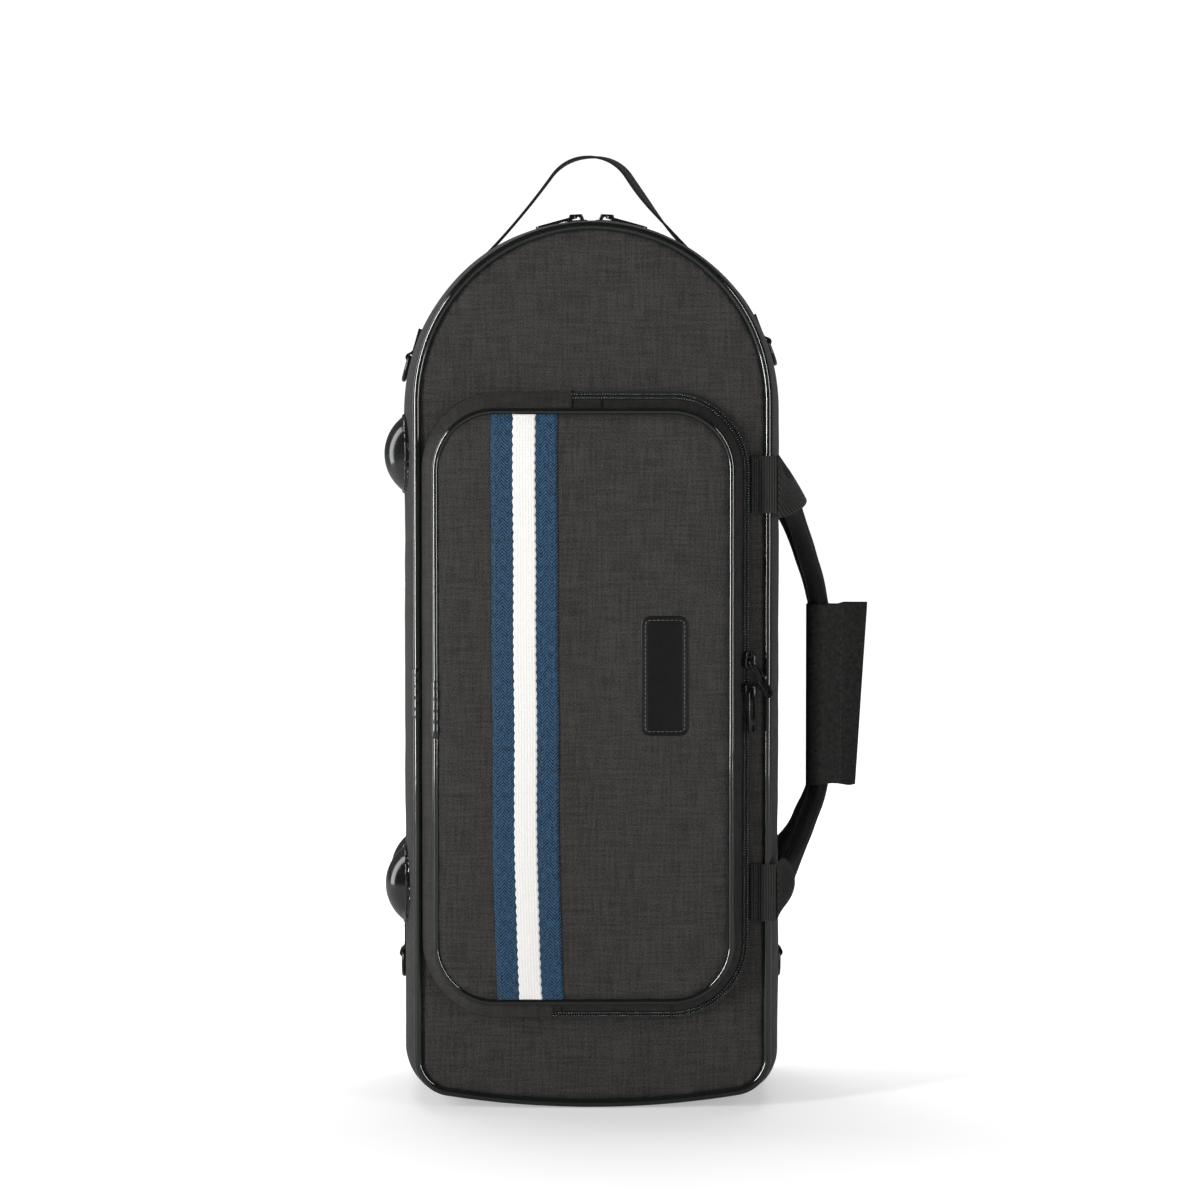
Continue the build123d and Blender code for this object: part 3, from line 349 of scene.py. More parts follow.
def outline_sheet(name, outline, spacing, height, plane_y):
    """Flat sheet inside an outline of (x, z), its front at plane_y minus height(x, z, distance to the edge)."""
    edge = np.asarray(outline, float)
    low, high = edge.min(0), edge.max(0)
    xs = np.arange(low[0] + spacing / 2, high[0], spacing)
    zs = np.arange(low[1] + spacing / 2, high[1], spacing * 0.87)
    inner = np.array([(x + (spacing / 2 if j % 2 else 0), z) for j, z in enumerate(zs) for x in xs])
    inner = inner[inside(inner, edge)]
    inner = inner[edge_distance(inner, edge) > spacing * 0.6]
    verts = [Vector(p) for p in np.vstack([edge, inner])]
    loop = list(range(len(edge)))
    made = geometry.delaunay_2d_cdt(verts, [], [loop], 1, 1e-5)
    flat = np.array([(v.x, v.y) for v in made[0]])
    distance = edge_distance(flat, edge)
    distance[distance < 1e-4] = 0
    rise = height(flat[:, 0], flat[:, 1], distance)
    points = np.stack([flat[:, 0], plane_y - rise if plane_y < 0 else plane_y + rise, flat[:, 1]], 1)
    faces = np.array([list(f) for f in made[2]])
    a, b, c = (points[faces[:, i]] for i in range(3))
    turn = np.cross(b - a, c - a)[:, 1]
    wrong = turn > 0 if plane_y < 0 else turn < 0
    faces[wrong] = faces[wrong][:, ::-1]
    return mesh_piece(name, points, faces, np.stack([flat[:, 0], flat[:, 1]], 1))


def inside(points, edge):
    """Which points lie inside a closed outline."""
    x, z = points[:, 0], points[:, 1]
    found = np.zeros(len(points), bool)
    for (x0, z0), (x1, z1) in zip(edge, np.roll(edge, -1, 0)):
        crosses = (z0 > z) != (z1 > z)
        with np.errstate(divide="ignore", invalid="ignore"):
            found ^= crosses & (x < (x1 - x0) * (z - z0) / (z1 - z0) + x0)
    return found


def edge_distance(points, edge):
    """Distance from each point to the nearest side of a closed outline."""
    best = np.full(len(points), 1e9)
    for start, end in zip(edge, np.roll(edge, -1, 0)):
        way = end - start
        share = np.clip(((points - start) @ way) / max(way @ way, 1e-12), 0, 1)
        best = np.minimum(best, np.linalg.norm(points - start - share[:, None] * way, axis=1))
    return best


def joined(name, pieces):
    """Several meshes joined into one piece."""
    deselect()
    for piece in pieces:
        piece.select_set(True)
    bpy.context.view_layer.objects.active = pieces[0]
    if len(pieces) > 1:
        bpy.ops.object.join()
    pieces[0].name = name
    pieces[0].data.name = name
    return pieces[0]


def bead_shape(rings, count):
    """Rounded bead one long and one wide, from (place, radius) rings: its points and faces."""
    angles = np.linspace(0, 2 * math.pi, count, endpoint=False)
    points = [(x, r * math.cos(a) / 2, r * math.sin(a) / 2) for x, r in rings for a in angles]
    faces = []
    for k in range(len(rings) - 1):
        for i in range(count):
            j = (i + 1) % count
            faces.append((k * count + i, k * count + j, (k + 1) * count + j, (k + 1) * count + i))
    faces.append(tuple(range(count))[::-1])
    faces.append(tuple((len(rings) - 1) * count + i for i in range(count)))
    return np.array(points), faces


STITCH_LIFT = 0.1
STITCH_SHAPE = bead_shape([(-0.5, 0.35), (-0.36, 0.85), (0, 1.0), (0.36, 0.85), (0.5, 0.35)], 6)
TOOTH_SHAPE = bead_shape([(-0.5, 0.5), (-0.3, 0.95), (0.3, 1.0), (0.5, 0.75)], 6)


def beads(name, shape, places, ways, ups, size):
    """Copies of a bead at places, long along ways and tall along ups, as one piece."""
    base, faces = shape
    places, ways, ups = (np.asarray(v, float) for v in (places, ways, ups))
    ways = unit(ways)
    ups = unit(ups - ways * np.sum(ups * ways, 1, keepdims=True))
    sides = np.cross(ups, ways)
    size = np.asarray(size, float)
    body = base * size
    points = (
        places[:, None]
        + ways[:, None] * body[None, :, :1]
        + sides[:, None] * body[None, :, 1:2]
        + ups[:, None] * body[None, :, 2:]
    )
    count = len(base)
    every = [tuple(i + k * count for i in f) for k in range(len(places)) for f in faces]
    return mesh_piece(name, points.reshape(-1, 3), every)


def stitch_row(name, points, normals, stitch, gap=1.1, width=0.55):
    """Row of stitches lying along a path of points with surface normals."""
    points, normals = np.asarray(points, float), np.asarray(normals, float)
    along = running(points)
    count = max(2, int(along[-1] / (stitch + gap)))
    at = (np.arange(count) + 0.5) * along[-1] / count
    place = np.stack([np.interp(at, along, points[:, i]) for i in range(3)], 1)
    up = unit(np.stack([np.interp(at, along, normals[:, i]) for i in range(3)], 1))
    ahead = np.stack([np.interp(at + 0.4, along, points[:, i]) for i in range(3)], 1)
    back = np.stack([np.interp(at - 0.4, along, points[:, i]) for i in range(3)], 1)
    return beads(name, STITCH_SHAPE, place + up * STITCH_LIFT, ahead - back, up, (stitch, width, width * 0.8))


# ---------------------------------------------------------------- the case's own curves


def swell(y):
    """Share of the walls' bulge at depth y: 1 at the zipper and 0 at the shell's edge."""
    return 1 - (abs(y) / HALF_DEPTH) ** BULGE_POWER


ARCH_POINTS, HINGE_POINTS = 131, 116


def case_ring(y, inset):
    """Closed outline of the case at depth y: right end of the arch first, over the top and round."""
    half_full = EDGE_HALF + SIDE_BULGE * swell(y)
    half = half_full - inset
    centre = EDGE_TOP + TOP_BULGE * swell(y) - half_full
    low = EDGE_LIFT - BOTTOM_BULGE * swell(y) + inset
    wide, small = BOTTOM_ARC + FLATTER * (1 - swell(y)) - inset, max(CORNER - inset, 4.0)
    side = half - small
    wide_centre = low + wide
    small_centre = wide_centre - math.sqrt((wide - small) ** 2 - side**2)
    turn = math.atan2(small_centre - wide_centre, side)
    arch = np.linspace(0, math.pi, ARCH_POINTS)
    parts = [np.stack([half * np.cos(arch), centre + half * np.sin(arch)], 1)]
    stops = [centre + (HINGE_HIGH - centre) * t for t in (1 / 3, 2 / 3)]
    stops += list(np.linspace(HINGE_HIGH, HINGE_LOW, HINGE_POINTS))
    stops += list(np.linspace(HINGE_LOW, small_centre, 10)[1:])
    parts.append(np.stack([np.full(len(stops), -half), np.array(stops)], 1))
    corner = np.linspace(math.pi, math.pi - turn, 13)[1:]
    parts.append(np.stack([-side + small * np.cos(corner), small_centre + small * np.sin(corner)], 1))
    reach = abs(-side + small * math.cos(math.pi - turn))
    runs = ((-reach, -BOTTOM_COVER, 5), (-BOTTOM_COVER, BOTTOM_COVER, 54), (BOTTOM_COVER, reach, 5))
    xs = np.concatenate([np.linspace(*run)[1:] for run in runs])
    parts.append(np.stack([xs, wide_centre - np.sqrt(wide**2 - xs**2)], 1))
    corner = np.linspace(turn, 0, 13)[1:]
    parts.append(np.stack([side + small * np.cos(corner), small_centre + small * np.sin(corner)], 1))
    stops = np.linspace(small_centre, centre, 128)[1:-1]
    parts.append(np.stack([np.full(len(stops), half), stops], 1))
    ring = np.vstack(parts)
    ring[:, 1] = np.maximum(ring[:, 1], inset)
    return ring


REFERENCE = case_ring(0, 0)
RING_LENGTH = running(REFERENCE, closed=True)
HINGE_FIRST = ARCH_POINTS + 2
HINGE_LAST = HINGE_FIRST + HINGE_POINTS - 1
BOTTOM_FIRST = int(np.argmin(np.abs(REFERENCE[:, 0] + BOTTOM_COVER) + (REFERENCE[:, 1] > 30) * 999))
BOTTOM_LAST = int(np.argmin(np.abs(REFERENCE[:, 0] - BOTTOM_COVER) + (REFERENCE[:, 1] > 30) * 999))


def ring_points(y, inset):
    """The outline at depth y as points in space."""
    ring = case_ring(y, inset)
    return np.stack([ring[:, 0], np.full(len(ring), y), ring[:, 1]], 1)


def pocket_ring(spread, spread_left=None):
    """Outline round the pocket, grown by spread, from the fold's low end round the right side.

    Returns the points, and how many of them lie on the flap.
    """
    spread_left = spread if spread_left is None else spread_left
    left, right = POCKET_LEFT - spread_left, POCKET_RIGHT + spread
    low, high, radius = POCKET_LOW - spread, POCKET_HIGH + spread, POCKET_CORNER + spread
    points = [np.stack([np.linspace(FOLD_LOW[0], right - radius, 30), np.full(30, low)], 1)]
    for cx, cz, a0 in ((right - radius, low + radius, -90), (right - radius, high - radius, 0)):
        angles = np.radians(np.linspace(a0, a0 + 90, 20))
        points.append(np.stack([cx + radius * np.cos(angles), cz + radius * np.sin(angles)], 1))
        if a0 == -90:
            points.append(np.stack([np.full(98, right), np.linspace(low + radius, high - radius, 100)[1:-1]], 1))
    points.append(np.stack([np.linspace(right - radius, FOLD_HIGH[0], 16)[1:], np.full(15, high)], 1))
    flap_count = sum(len(p) for p in points)
    points.append(np.stack([np.linspace(FOLD_HIGH[0], left + radius, 24)[1:], np.full(23, high)], 1))
    for cx, cz, a0 in ((left + radius, high - radius, 90), (left + radius, low + radius, 180)):
        angles = np.radians(np.linspace(a0, a0 + 90, 20))
        points.append(np.stack([cx + radius * np.cos(angles), cz + radius * np.sin(angles)], 1))
        if a0 == 90:
            points.append(np.stack([np.full(98, left), np.linspace(high - radius, low + radius, 100)[1:-1]], 1))
    points.append(np.stack([np.linspace(left + radius, FOLD_LOW[0], 14)[1:], np.full(13, low)], 1))
    return np.vstack(points), flap_count


def pocket_points(spread, rise, spread_left=None):
    """The pocket outline in space, at a rise above the lid's front."""
    ring, _ = pocket_ring(spread, spread_left)
    return np.stack([ring[:, 0], np.full(len(ring), -HALF_DEPTH - rise), ring[:, 1]], 1)


FLAP_COUNT = pocket_ring(0)[1]


def front_plane(count):
    """The front's direction, once for each of so many points."""
    return np.tile([0.0, -1.0, 0.0], (count, 1))


# ---------------------------------------------------------------- materials


GRAIN = (0.3, 0.7)  # where most values of a noise lie

# Weaves, in metres: the width of a herringbone's columns, and the spacing of ribs and of the picks across them
TAPE_COLUMN, TAPE_RIB = 0.0011, 0.0009
BLUE_COLUMN, BLUE_RIB, BLUE_PICK = 0.0034, 0.0021, 0.0011
WHITE_RIB, WHITE_PICK = 0.0017, 0.0011
FLAT_RIB, TUBE_RIB = 0.0016, 0.0013


def blank(name):
    """New material: its tree and its main shader."""
    material = bpy.data.materials.new(name)
    material.use_nodes = True
    return material, material.node_tree, material.node_tree.nodes["Principled BSDF"]


def node(tree, kind, settings=None, **sockets):
    """Adds a shader node; each socket gets a value or a link."""
    made = tree.nodes.new(kind)
    for key, value in (settings or {}).items():
        setattr(made, key, value)
    for key, value in sockets.items():
        put(tree, made.inputs[key.replace("_", " ")], value)
    return made


def put(tree, socket, value):
    """Links a value to a socket, or sets it there."""
    if isinstance(value, bpy.types.NodeSocket):
        tree.links.new(value, socket)
    else:
        socket.default_value = value


def maths(tree, operation, *values):
    """Output of a maths node."""
    made = tree.nodes.new("ShaderNodeMath")
    made.operation = operation
    for socket, value in zip(made.inputs, values):
        put(tree, socket, value)
    return made.outputs[0]


def plus(tree, first, second):
    """Sum of two values."""
    return maths(tree, "ADD", first, second)


def times(tree, first, second):
    """Product of two values."""
    return maths(tree, "MULTIPLY", first, second)


def waves(tree, length, spacing):
    """Sine of a length, from crest to crest one spacing."""
    return maths(tree, "SINE", times(tree, length, 2 * math.pi / spacing))


def mix(tree, share, first, second):
    """Colour between two others."""
    made = tree.nodes.new("ShaderNodeMix")
    made.data_type = "RGBA"
    put(tree, made.inputs[0], share)
    for socket, value in ((made.inputs[6], first), (made.inputs[7], second)):
        put(tree, socket, value if isinstance(value, bpy.types.NodeSocket) else (*value[:3], 1.0))
    return made.outputs[2]


def spread(tree, value, low, high, to_low=0.0, to_high=1.0):
    """Value carried from one range to another."""
    made = node(tree, "ShaderNodeMapRange", None, Value=value)
    for key, number in (("From Min", low), ("From Max", high), ("To Min", to_low), ("To Max", to_high)):
        made.inputs[key].default_value = number
    return made.outputs[0]


def shade(base, factor):
    """A colour made lighter or darker."""
    return tuple(min(1.0, c * factor) for c in base[:3])


def cloth_map(tree):
    """The map called cloth, in metres: the vector, its first and its second length."""
    vector = node(tree, "ShaderNodeUVMap", {"uv_map": "cloth"}).outputs[0]
    parts = node(tree, "ShaderNodeSeparateXYZ", None, Vector=vector)
    return vector, parts.outputs[0], parts.outputs[1]


def own_place(tree):
    """Place on the piece itself."""
    return node(tree, "ShaderNodeTexCoord").outputs["Object"]


def tinted(tree, shader, share, dark, light):
    """Base colour between two others."""
    tree.links.new(mix(tree, share, dark, light), shader.inputs["Base Color"])


def dulled(tree, shader, grain, low, high):
    """Roughness that follows a grain's usual range."""
    tree.links.new(spread(tree, grain, *GRAIN, low, high), shader.inputs["Roughness"])


def stretched(tree, vector, x, y, z, detail=2.0, scale=1.0):
    """Noise on a vector stretched along its axes."""
    mapped = node(tree, "ShaderNodeMapping", None, Vector=vector, Scale=(x, y, z)).outputs[0]
    return node(tree, "ShaderNodeTexNoise", None, Vector=mapped, Scale=scale, Detail=detail).outputs[0]


def bumped(tree, shader, height, strength, distance):
    """Bump from a height, on the shader's normal."""
    made = node(tree, "ShaderNodeBump", None, Height=height, Strength=strength, Distance=distance)
    tree.links.new(made.outputs[0], shader.inputs["Normal"])


def set_up(shader, roughness=None, sheen=None, coat=None, metallic=None, specular=None):
    """Even values on the shader's own sockets."""
    if roughness is not None:
        shader.inputs["Roughness"].default_value = roughness
    if sheen:
        shader.inputs["Sheen Weight"].default_value = sheen[0]
        shader.inputs["Sheen Roughness"].default_value = sheen[1]
        shader.inputs["Sheen Tint"].default_value = (*sheen[2], 1.0)
    if coat:
        shader.inputs["Coat Weight"].default_value = coat[0]
        shader.inputs["Coat Roughness"].default_value = coat[1]
    if metallic is not None:
        shader.inputs["Metallic"].default_value = metallic
    if specular is not None:
        shader.inputs["Specular IOR Level"].default_value = specular


def woven_nylon(name, base, gap):
    """Plain-woven heathered nylon, mapped in metres."""
    material, tree, shader = blank(name)
    vector, u, v = cloth_map(tree)
    over = times(tree, waves(tree, u, gap), waves(tree, v, gap))
    warp = stretched(tree, vector, 1.0, 0.07, 1.0, 1.0, 0.55 / gap)
    weft = stretched(tree, vector, 0.07, 1.0, 1.0, 1.0, 0.55 / gap)
    flecks = stretched(tree, vector, 1.0, 1.0, 1.0, 2.0, 0.95 / gap)
    threads = plus(tree, times(tree, warp, 0.5), times(tree, weft, 0.5))
    patches = stretched(tree, vector, 1, 1, 1, 3.0, 28.0)
    tone = spread(tree, threads, 0.35, 0.65, -0.28, 0.28)
    tone = plus(tree, tone, spread(tree, patches, *GRAIN, -0.05, 0.05))
    tone = plus(tree, tone, spread(tree, flecks, 0.32, 0.68, -0.4, 0.4))
    tone = plus(tree, tone, times(tree, over, 0.07))
    tinted(tree, shader, plus(tree, tone, 0.5), shade(base, 0.45), shade(base, 1.55))
    dulled(tree, shader, threads, 0.78, 0.92)
    set_up(shader, sheen=(0.06, 0.45, (0.9, 0.87, 0.83)), specular=0.2)
    height = plus(tree, times(tree, over, 0.5), times(tree, threads, 0.9))
    bumped(tree, shader, height, 0.32, gap * 0.28)
    return material


def glossy_vinyl(name, base):
    """Shiny vinyl drawn over a cord: faint ripples and a wiped-clean gloss."""
    material, tree, shader = blank(name)
    vector, _, _ = cloth_map(tree)
    ripples = stretched(tree, vector, 0.6, 0.35, 1, 0.0, 90.0)
    smears = stretched(tree, vector, 1, 1, 1, 2.0, 60.0)
    tinted(tree, shader, smears, shade(base, 0.8), shade(base, 1.5))
    dulled(tree, shader, smears, 0.08, 0.11)
    set_up(shader, coat=(1.0, 0.04), specular=0.85)
    bumped(tree, shader, ripples, 0.08, 0.0003)
    return material


def zip_tape(name, base):
    """Narrow herringbone tape."""
    material, tree, shader = blank(name)
    vector, u, v = cloth_map(tree)
    column = maths(tree, "PINGPONG", v, TAPE_COLUMN)
    chevron = waves(tree, plus(tree, u, times(tree, column, 0.9)), TAPE_RIB)
    fuzz = stretched(tree, vector, 1, 1, 1, 2.0, 900.0)
    tinted(tree, shader, spread(tree, chevron, -1, 1, 0.1, 0.9), shade(base, 0.55), shade(base, 1.5))
    dulled(tree, shader, fuzz, 0.7, 0.9)
    set_up(shader, sheen=(0.15, 0.5, (0.8, 0.8, 0.8)), specular=0.3)
    bumped(tree, shader, plus(tree, chevron, fuzz), 0.4, 0.0002)
    return material


def nylon_coil(name, base):
    """Moulded nylon monofilament."""
    material, tree, shader = blank(name)
    place = own_place(tree)
    grime = stretched(tree, place, 1, 1, 1, 2.0, 120.0)
    tinted(tree, shader, grime, shade(base, 0.7), shade(base, 1.6))
    dulled(tree, shader, grime, 0.16, 0.28)
    set_up(shader, coat=(1.0, 0.08), specular=1.0)
    bumped(tree, shader, stretched(tree, place, 1, 1, 1, 1.0, 1500.0), 0.1, 0.0001)
    return material


def enamelled_metal(name, base, polish):
    """Black enamel on die-cast metal, a little brighter where hands rub it."""
    material, tree, shader = blank(name)
    place = own_place(tree)
    wear = stretched(tree, place, 1, 1, 1, 4.0, 240.0)
    pits = stretched(tree, place, 1, 1, 1, 2.0, 1200.0)
    rubbed = spread(tree, wear, 0.55, 0.75, 0.0, 0.35)
    tinted(tree, shader, rubbed, base, shade(base, 4.0))
    dulled(tree, shader, pits, polish * 0.8, polish * 1.4)
    set_up(shader, metallic=0.85, coat=(0.6, 0.1))
    bumped(tree, shader, pits, 0.08, 0.0001)
    return material


def ribbon_blue(name, base):
    """Herringbone webbing: columns of slanted ribs along the ribbon."""
    material, tree, shader = blank(name)
    vector, u, v = cloth_map(tree)
    column = maths(tree, "PINGPONG", u, BLUE_COLUMN)
    slant = waves(tree, plus(tree, v, times(tree, column, 1.15)), BLUE_RIB)
    cross = waves(tree, u, BLUE_PICK)
    fuzz = stretched(tree, vector, 1, 0.3, 1, 3.0, 800.0)
    tone = plus(tree, spread(tree, slant, -1, 1, 0.0, 0.8), spread(tree, fuzz, *GRAIN, -0.25, 0.38))
    tinted(tree, shader, tone, shade(base, 0.12), shade(base, 2.05))
    dulled(tree, shader, fuzz, 0.68, 0.88)
    set_up(shader, sheen=(0.2, 0.4, (0.6, 0.75, 1.0)), specular=0.3)
    height = plus(tree, slant, times(tree, cross, 0.3))
    bumped(tree, shader, height, 0.5, 0.0003)
    return material


def ribbon_white(name, base):
    """Ribbed white ribbon with fine cross threads."""
    material, tree, shader = blank(name)
    vector, u, v = cloth_map(tree)
    ribs = waves(tree, u, WHITE_RIB)
    picks = waves(tree, v, WHITE_PICK)
    fuzz = stretched(tree, vector, 1, 1, 1, 2.0, 700.0)
    tone = plus(tree, spread(tree, ribs, -1, 1, 0.35, 0.85), spread(tree, fuzz, *GRAIN, -0.15, 0.15))
    tinted(tree, shader, tone, shade(base, 0.86), base)
    dulled(tree, shader, fuzz, 0.7, 0.86)
    set_up(shader, sheen=(0.1, 0.4, (1, 1, 1)), specular=0.3)
    bumped(tree, shader, plus(tree, ribs, times(tree, picks, 0.6)), 0.45, 0.0002)
    return material


def ribbed_webbing(name, base, rib, gloss=0.55, contrast=0.8, depth=0.5):
    """Nylon webbing: fine ribs along it and picks across it."""
    material, tree, shader = blank(name)
    vector, u, v = cloth_map(tree)
    ribs = waves(tree, v, rib)
    shifted = plus(tree, times(tree, u, 2 * math.pi / (rib * 0.62)), times(tree, ribs, 1.2))
    picks = maths(tree, "SINE", shifted)
    fuzz = stretched(tree, vector, 0.25, 1, 1, 3.0, 900.0)
    tone = plus(tree, spread(tree, ribs, -1, 1, 0.0, contrast), spread(tree, fuzz, *GRAIN, -0.12, 0.18))
    tinted(tree, shader, tone, shade(base, 0.4), shade(base, 2.0))
    dulled(tree, shader, fuzz, gloss - 0.12, gloss + 0.12)
    set_up(shader, sheen=(0.08, 0.4, (0.85, 0.83, 0.8)), specular=0.25)
    bumped(tree, shader, plus(tree, ribs, times(tree, picks, 0.5)), depth, 0.00022)
    return material


def leather(name, base, grain, gloss, coat, shine):
    """Fine-grained leather."""
    material, tree, shader = blank(name)
    place = own_place(tree)
    edges = {"feature": "DISTANCE_TO_EDGE"}
    cells = node(tree, "ShaderNodeTexVoronoi", edges, Vector=place, Scale=1 / grain).outputs[0]
    creases = stretched(tree, place, 1, 1, 1, 4.0, 0.35 / grain)
    folds = spread(tree, cells, 0.0, 0.25, 0.0, 1.0)
    height = plus(tree, folds, times(tree, creases, 1.2))
    tinted(tree, shader, spread(tree, creases, *GRAIN), shade(base, 0.7), shade(base, 1.6))
    tree.links.new(spread(tree, height, 0.3, 1.6, gloss + 0.1, gloss - 0.06), shader.inputs["Roughness"])
    set_up(shader, coat=(coat, 0.25), specular=shine)
    bumped(tree, shader, height, 0.3, grain * 0.22)
    return material


def moulded_rubber(name, base):
    """Satin moulded rubber with a fine spark-eroded grain."""
    material, tree, shader = blank(name)
    place = own_place(tree)
    grain = stretched(tree, place, 1, 1, 1, 2.0, 1700.0)
    scuffs = stretched(tree, place, 1, 1, 1, 5.0, 70.0)
    tinted(tree, shader, spread(tree, scuffs, 0.5, 0.8), base, shade(base, 2.2))
    dulled(tree, shader, scuffs, 0.12, 0.18)
    set_up(shader, coat=(0.8, 0.06), specular=0.8)
    bumped(tree, shader, grain, 0.12, 0.0002)
    return material


def plush_pile(name, base):
    """Short plush: soft patches where the pile leans, with a bright rim."""
    material, tree, shader = blank(name)
    place = own_place(tree)
    lean = stretched(tree, place, 1, 1, 1, 3.0, 24.0)
    pile = stretched(tree, place, 1, 1, 1, 3.0, 1100.0)
    tone = plus(tree, spread(tree, lean, 0.35, 0.65, 0.0, 0.45), spread(tree, pile, *GRAIN, 0.0, 0.5))
    tinted(tree, shader, tone, shade(base, 0.6), shade(base, 2.6))
    set_up(shader, roughness=0.95, sheen=(0.7, 0.35, (0.75, 0.75, 0.78)), specular=0.1)
    bumped(tree, shader, pile, 0.8, 0.0006)
    return material


def foam_board(name, base):
    """Cut foam board with open cells."""
    material, tree, shader = blank(name)
    place = own_place(tree)
    cells = node(tree, "ShaderNodeTexVoronoi", None, Vector=place, Scale=900.0).outputs[0]
    tinted(tree, shader, cells, shade(base, 0.8), shade(base, 1.1))
    set_up(shader, roughness=0.9, specular=0.2)
    bumped(tree, shader, cells, 0.5, 0.0005)
    return material


def plated_steel(name):
    """Zinc-plated steel with a faint grain."""
    material, tree, shader = blank(name)
    place = own_place(tree)
    grain = stretched(tree, place, 1, 1, 12, 3.0, 300.0)
    tinted(tree, shader, grain, (0.45, 0.45, 0.44), (0.62, 0.62, 0.6))
    dulled(tree, shader, grain, 0.25, 0.4)
    set_up(shader, metallic=1.0)
    return material


def sewing_thread(name, base):
    """Twisted polyester thread."""
    material, tree, shader = blank(name)
    place = own_place(tree)
    twist = stretched(tree, place, 1, 1, 1, 2.0, 1600.0)
    tinted(tree, shader, twist, shade(base, 0.6), shade(base, 1.7))
    set_up(shader, roughness=0.6, sheen=(0.2, 0.4, (0.9, 0.9, 0.9)))
    bumped(tree, shader, twist, 0.3, 0.0001)
    return material


MATERIALS = {}


def make_materials():
    """All the finishes of the case, by their names."""
    cloth, trim, zipper, _ = settings()
    MATERIALS.update(
        cloth=woven_nylon("Charcoal nylon", cloth.shell, cloth.thread_gap),
        # Darker copy of the charcoal nylon at 0.62: painted shade for the pocket's steep walls, which face away from
        # the light
        shaded_cloth=woven_nylon("Wall nylon painted shade", shade(cloth.shell, 0.62), cloth.thread_gap),
        vinyl=glossy_vinyl("Piping vinyl", trim.vinyl),
        tape=zip_tape("Zipper tape", shade(zipper.coil, 0.25)),
        coil=nylon_coil("Zipper coil", zipper.coil),
        metal=enamelled_metal("Black enamel", zipper.metal, zipper.polish),
        blue=ribbon_blue("Blue herringbone ribbon", trim.blue),
        white=ribbon_white("White ribbon", trim.white),
        webbing=ribbed_webbing("Flat webbing", trim.webbing, FLAT_RIB),
        roots=ribbed_webbing("Ribbed webbing", shade(trim.webbing, 2.3), FLAT_RIB, 0.5, 1.0, 1.0),
        tubular=ribbed_webbing("Tubular webbing", shade(trim.webbing, 0.7), TUBE_RIB, 0.42),
        patch=leather("Patch leather", trim.leather, 0.0011, 0.36, 0.12, 0.35),
        wrap=leather("Wrap leather", shade(trim.webbing, 2.0), 0.0008, 0.62, 0.0, 0.15),
        rubber=moulded_rubber("Foot rubber", trim.vinyl),
        plush=plush_pile("Plush", cloth.plush),
        foam=foam_board("Foam board", (0.016, 0.016, 0.017)),
        steel=plated_steel("Plated steel"),
        dark_thread=sewing_thread("Black thread", (0.02, 0.019, 0.018)),
        grey_thread=sewing_thread("Grey thread", (0.1, 0.1, 0.1)),
        blue_thread=sewing_thread("Blue thread", shade(trim.blue, 1.3)),
    )


# ---------------------------------------------------------------- shells


def wall_rows():
    """Depths and insets of the wall's cloth, from the piping's seam to the zipper."""
    rows = [(73.4, 1.8), (72.9, 1.0), (72.2, 0.35), (71.2, 0.1)]
    rows += [(y, 0.0) for y in np.arange(67.5, 9.0, -3.6)]
    rows += [(7.6, 0.0), (6.2, 0.0), (5.4, 0.05), (5.0, 0.35), (4.9, 0.95)]
    return rows


def wall_cloth(name, side, columns, pucker):
    """Cloth round one shell's wall, over a run of the outline's columns."""
    grid = np.stack([ring_points(side * y, inset) for y, inset in wall_rows()])
    total = grid.shape[1]
    out = unit(grid - np.array([0, 0, SEAM_Z * 0.5]))
    ahead = np.roll(grid, -1, 1) - np.roll(grid, 1, 1)
    normal = unit(np.stack([ahead[..., 2], np.zeros(ahead.shape[:2]), -ahead[..., 0]], -1))
    normal *= np.where(np.sum(normal * out, -1, keepdims=True) < 0, -1, 1)
    depth = np.array([y for y, _ in wall_rows()])[:, None]
    near_piping = np.exp(-np.abs(depth - 69.5) / 3.5)
    near_zip = np.exp(-np.abs(depth - 8.0) / 2.8)
    s = RING_LENGTH[None, :-1]
    wave = near_piping * np.sin(2 * math.pi * s / 8.6 + np.sin(s / 37))
    wave = wave + 0.7 * near_zip * np.sin(2 * math.pi * s / 7.4 + side)
    flat = grid.reshape(-1, 3)
    soft = rough(flat, 0.021, 3.0 + side) * 0.55 + rough(flat, 0.06, 9.0) * 0.22
    soft = soft.reshape(depth.shape[0], -1)
    swing = pucker / MM * wave + soft * np.clip((71.5 - depth) / 6, 0, 1) * np.clip((depth - 5) / 5, 0, 1)
    on_floor = np.clip(1 - grid[..., 2] / 4.0, 0, 1)
    grid = grid + normal * (swing * (1 - on_floor))[..., None]
    grid[..., 2] = np.maximum(grid[..., 2], 0.02)
    across = running(np.array([[0, y, 0] for y, _ in wall_rows()], float))
    run = np.array(columns)
    along = RING_LENGTH[:-1][run % total] + (run >= total) * RING_LENGTH[-1]
    piece = grid_piece(name, grid[:, run % total], along, across, flip=side > 0)
    turn_wall(piece, SEAM_Z * 0.5, True)
    return thicken(piece, WALL_CLOTH)


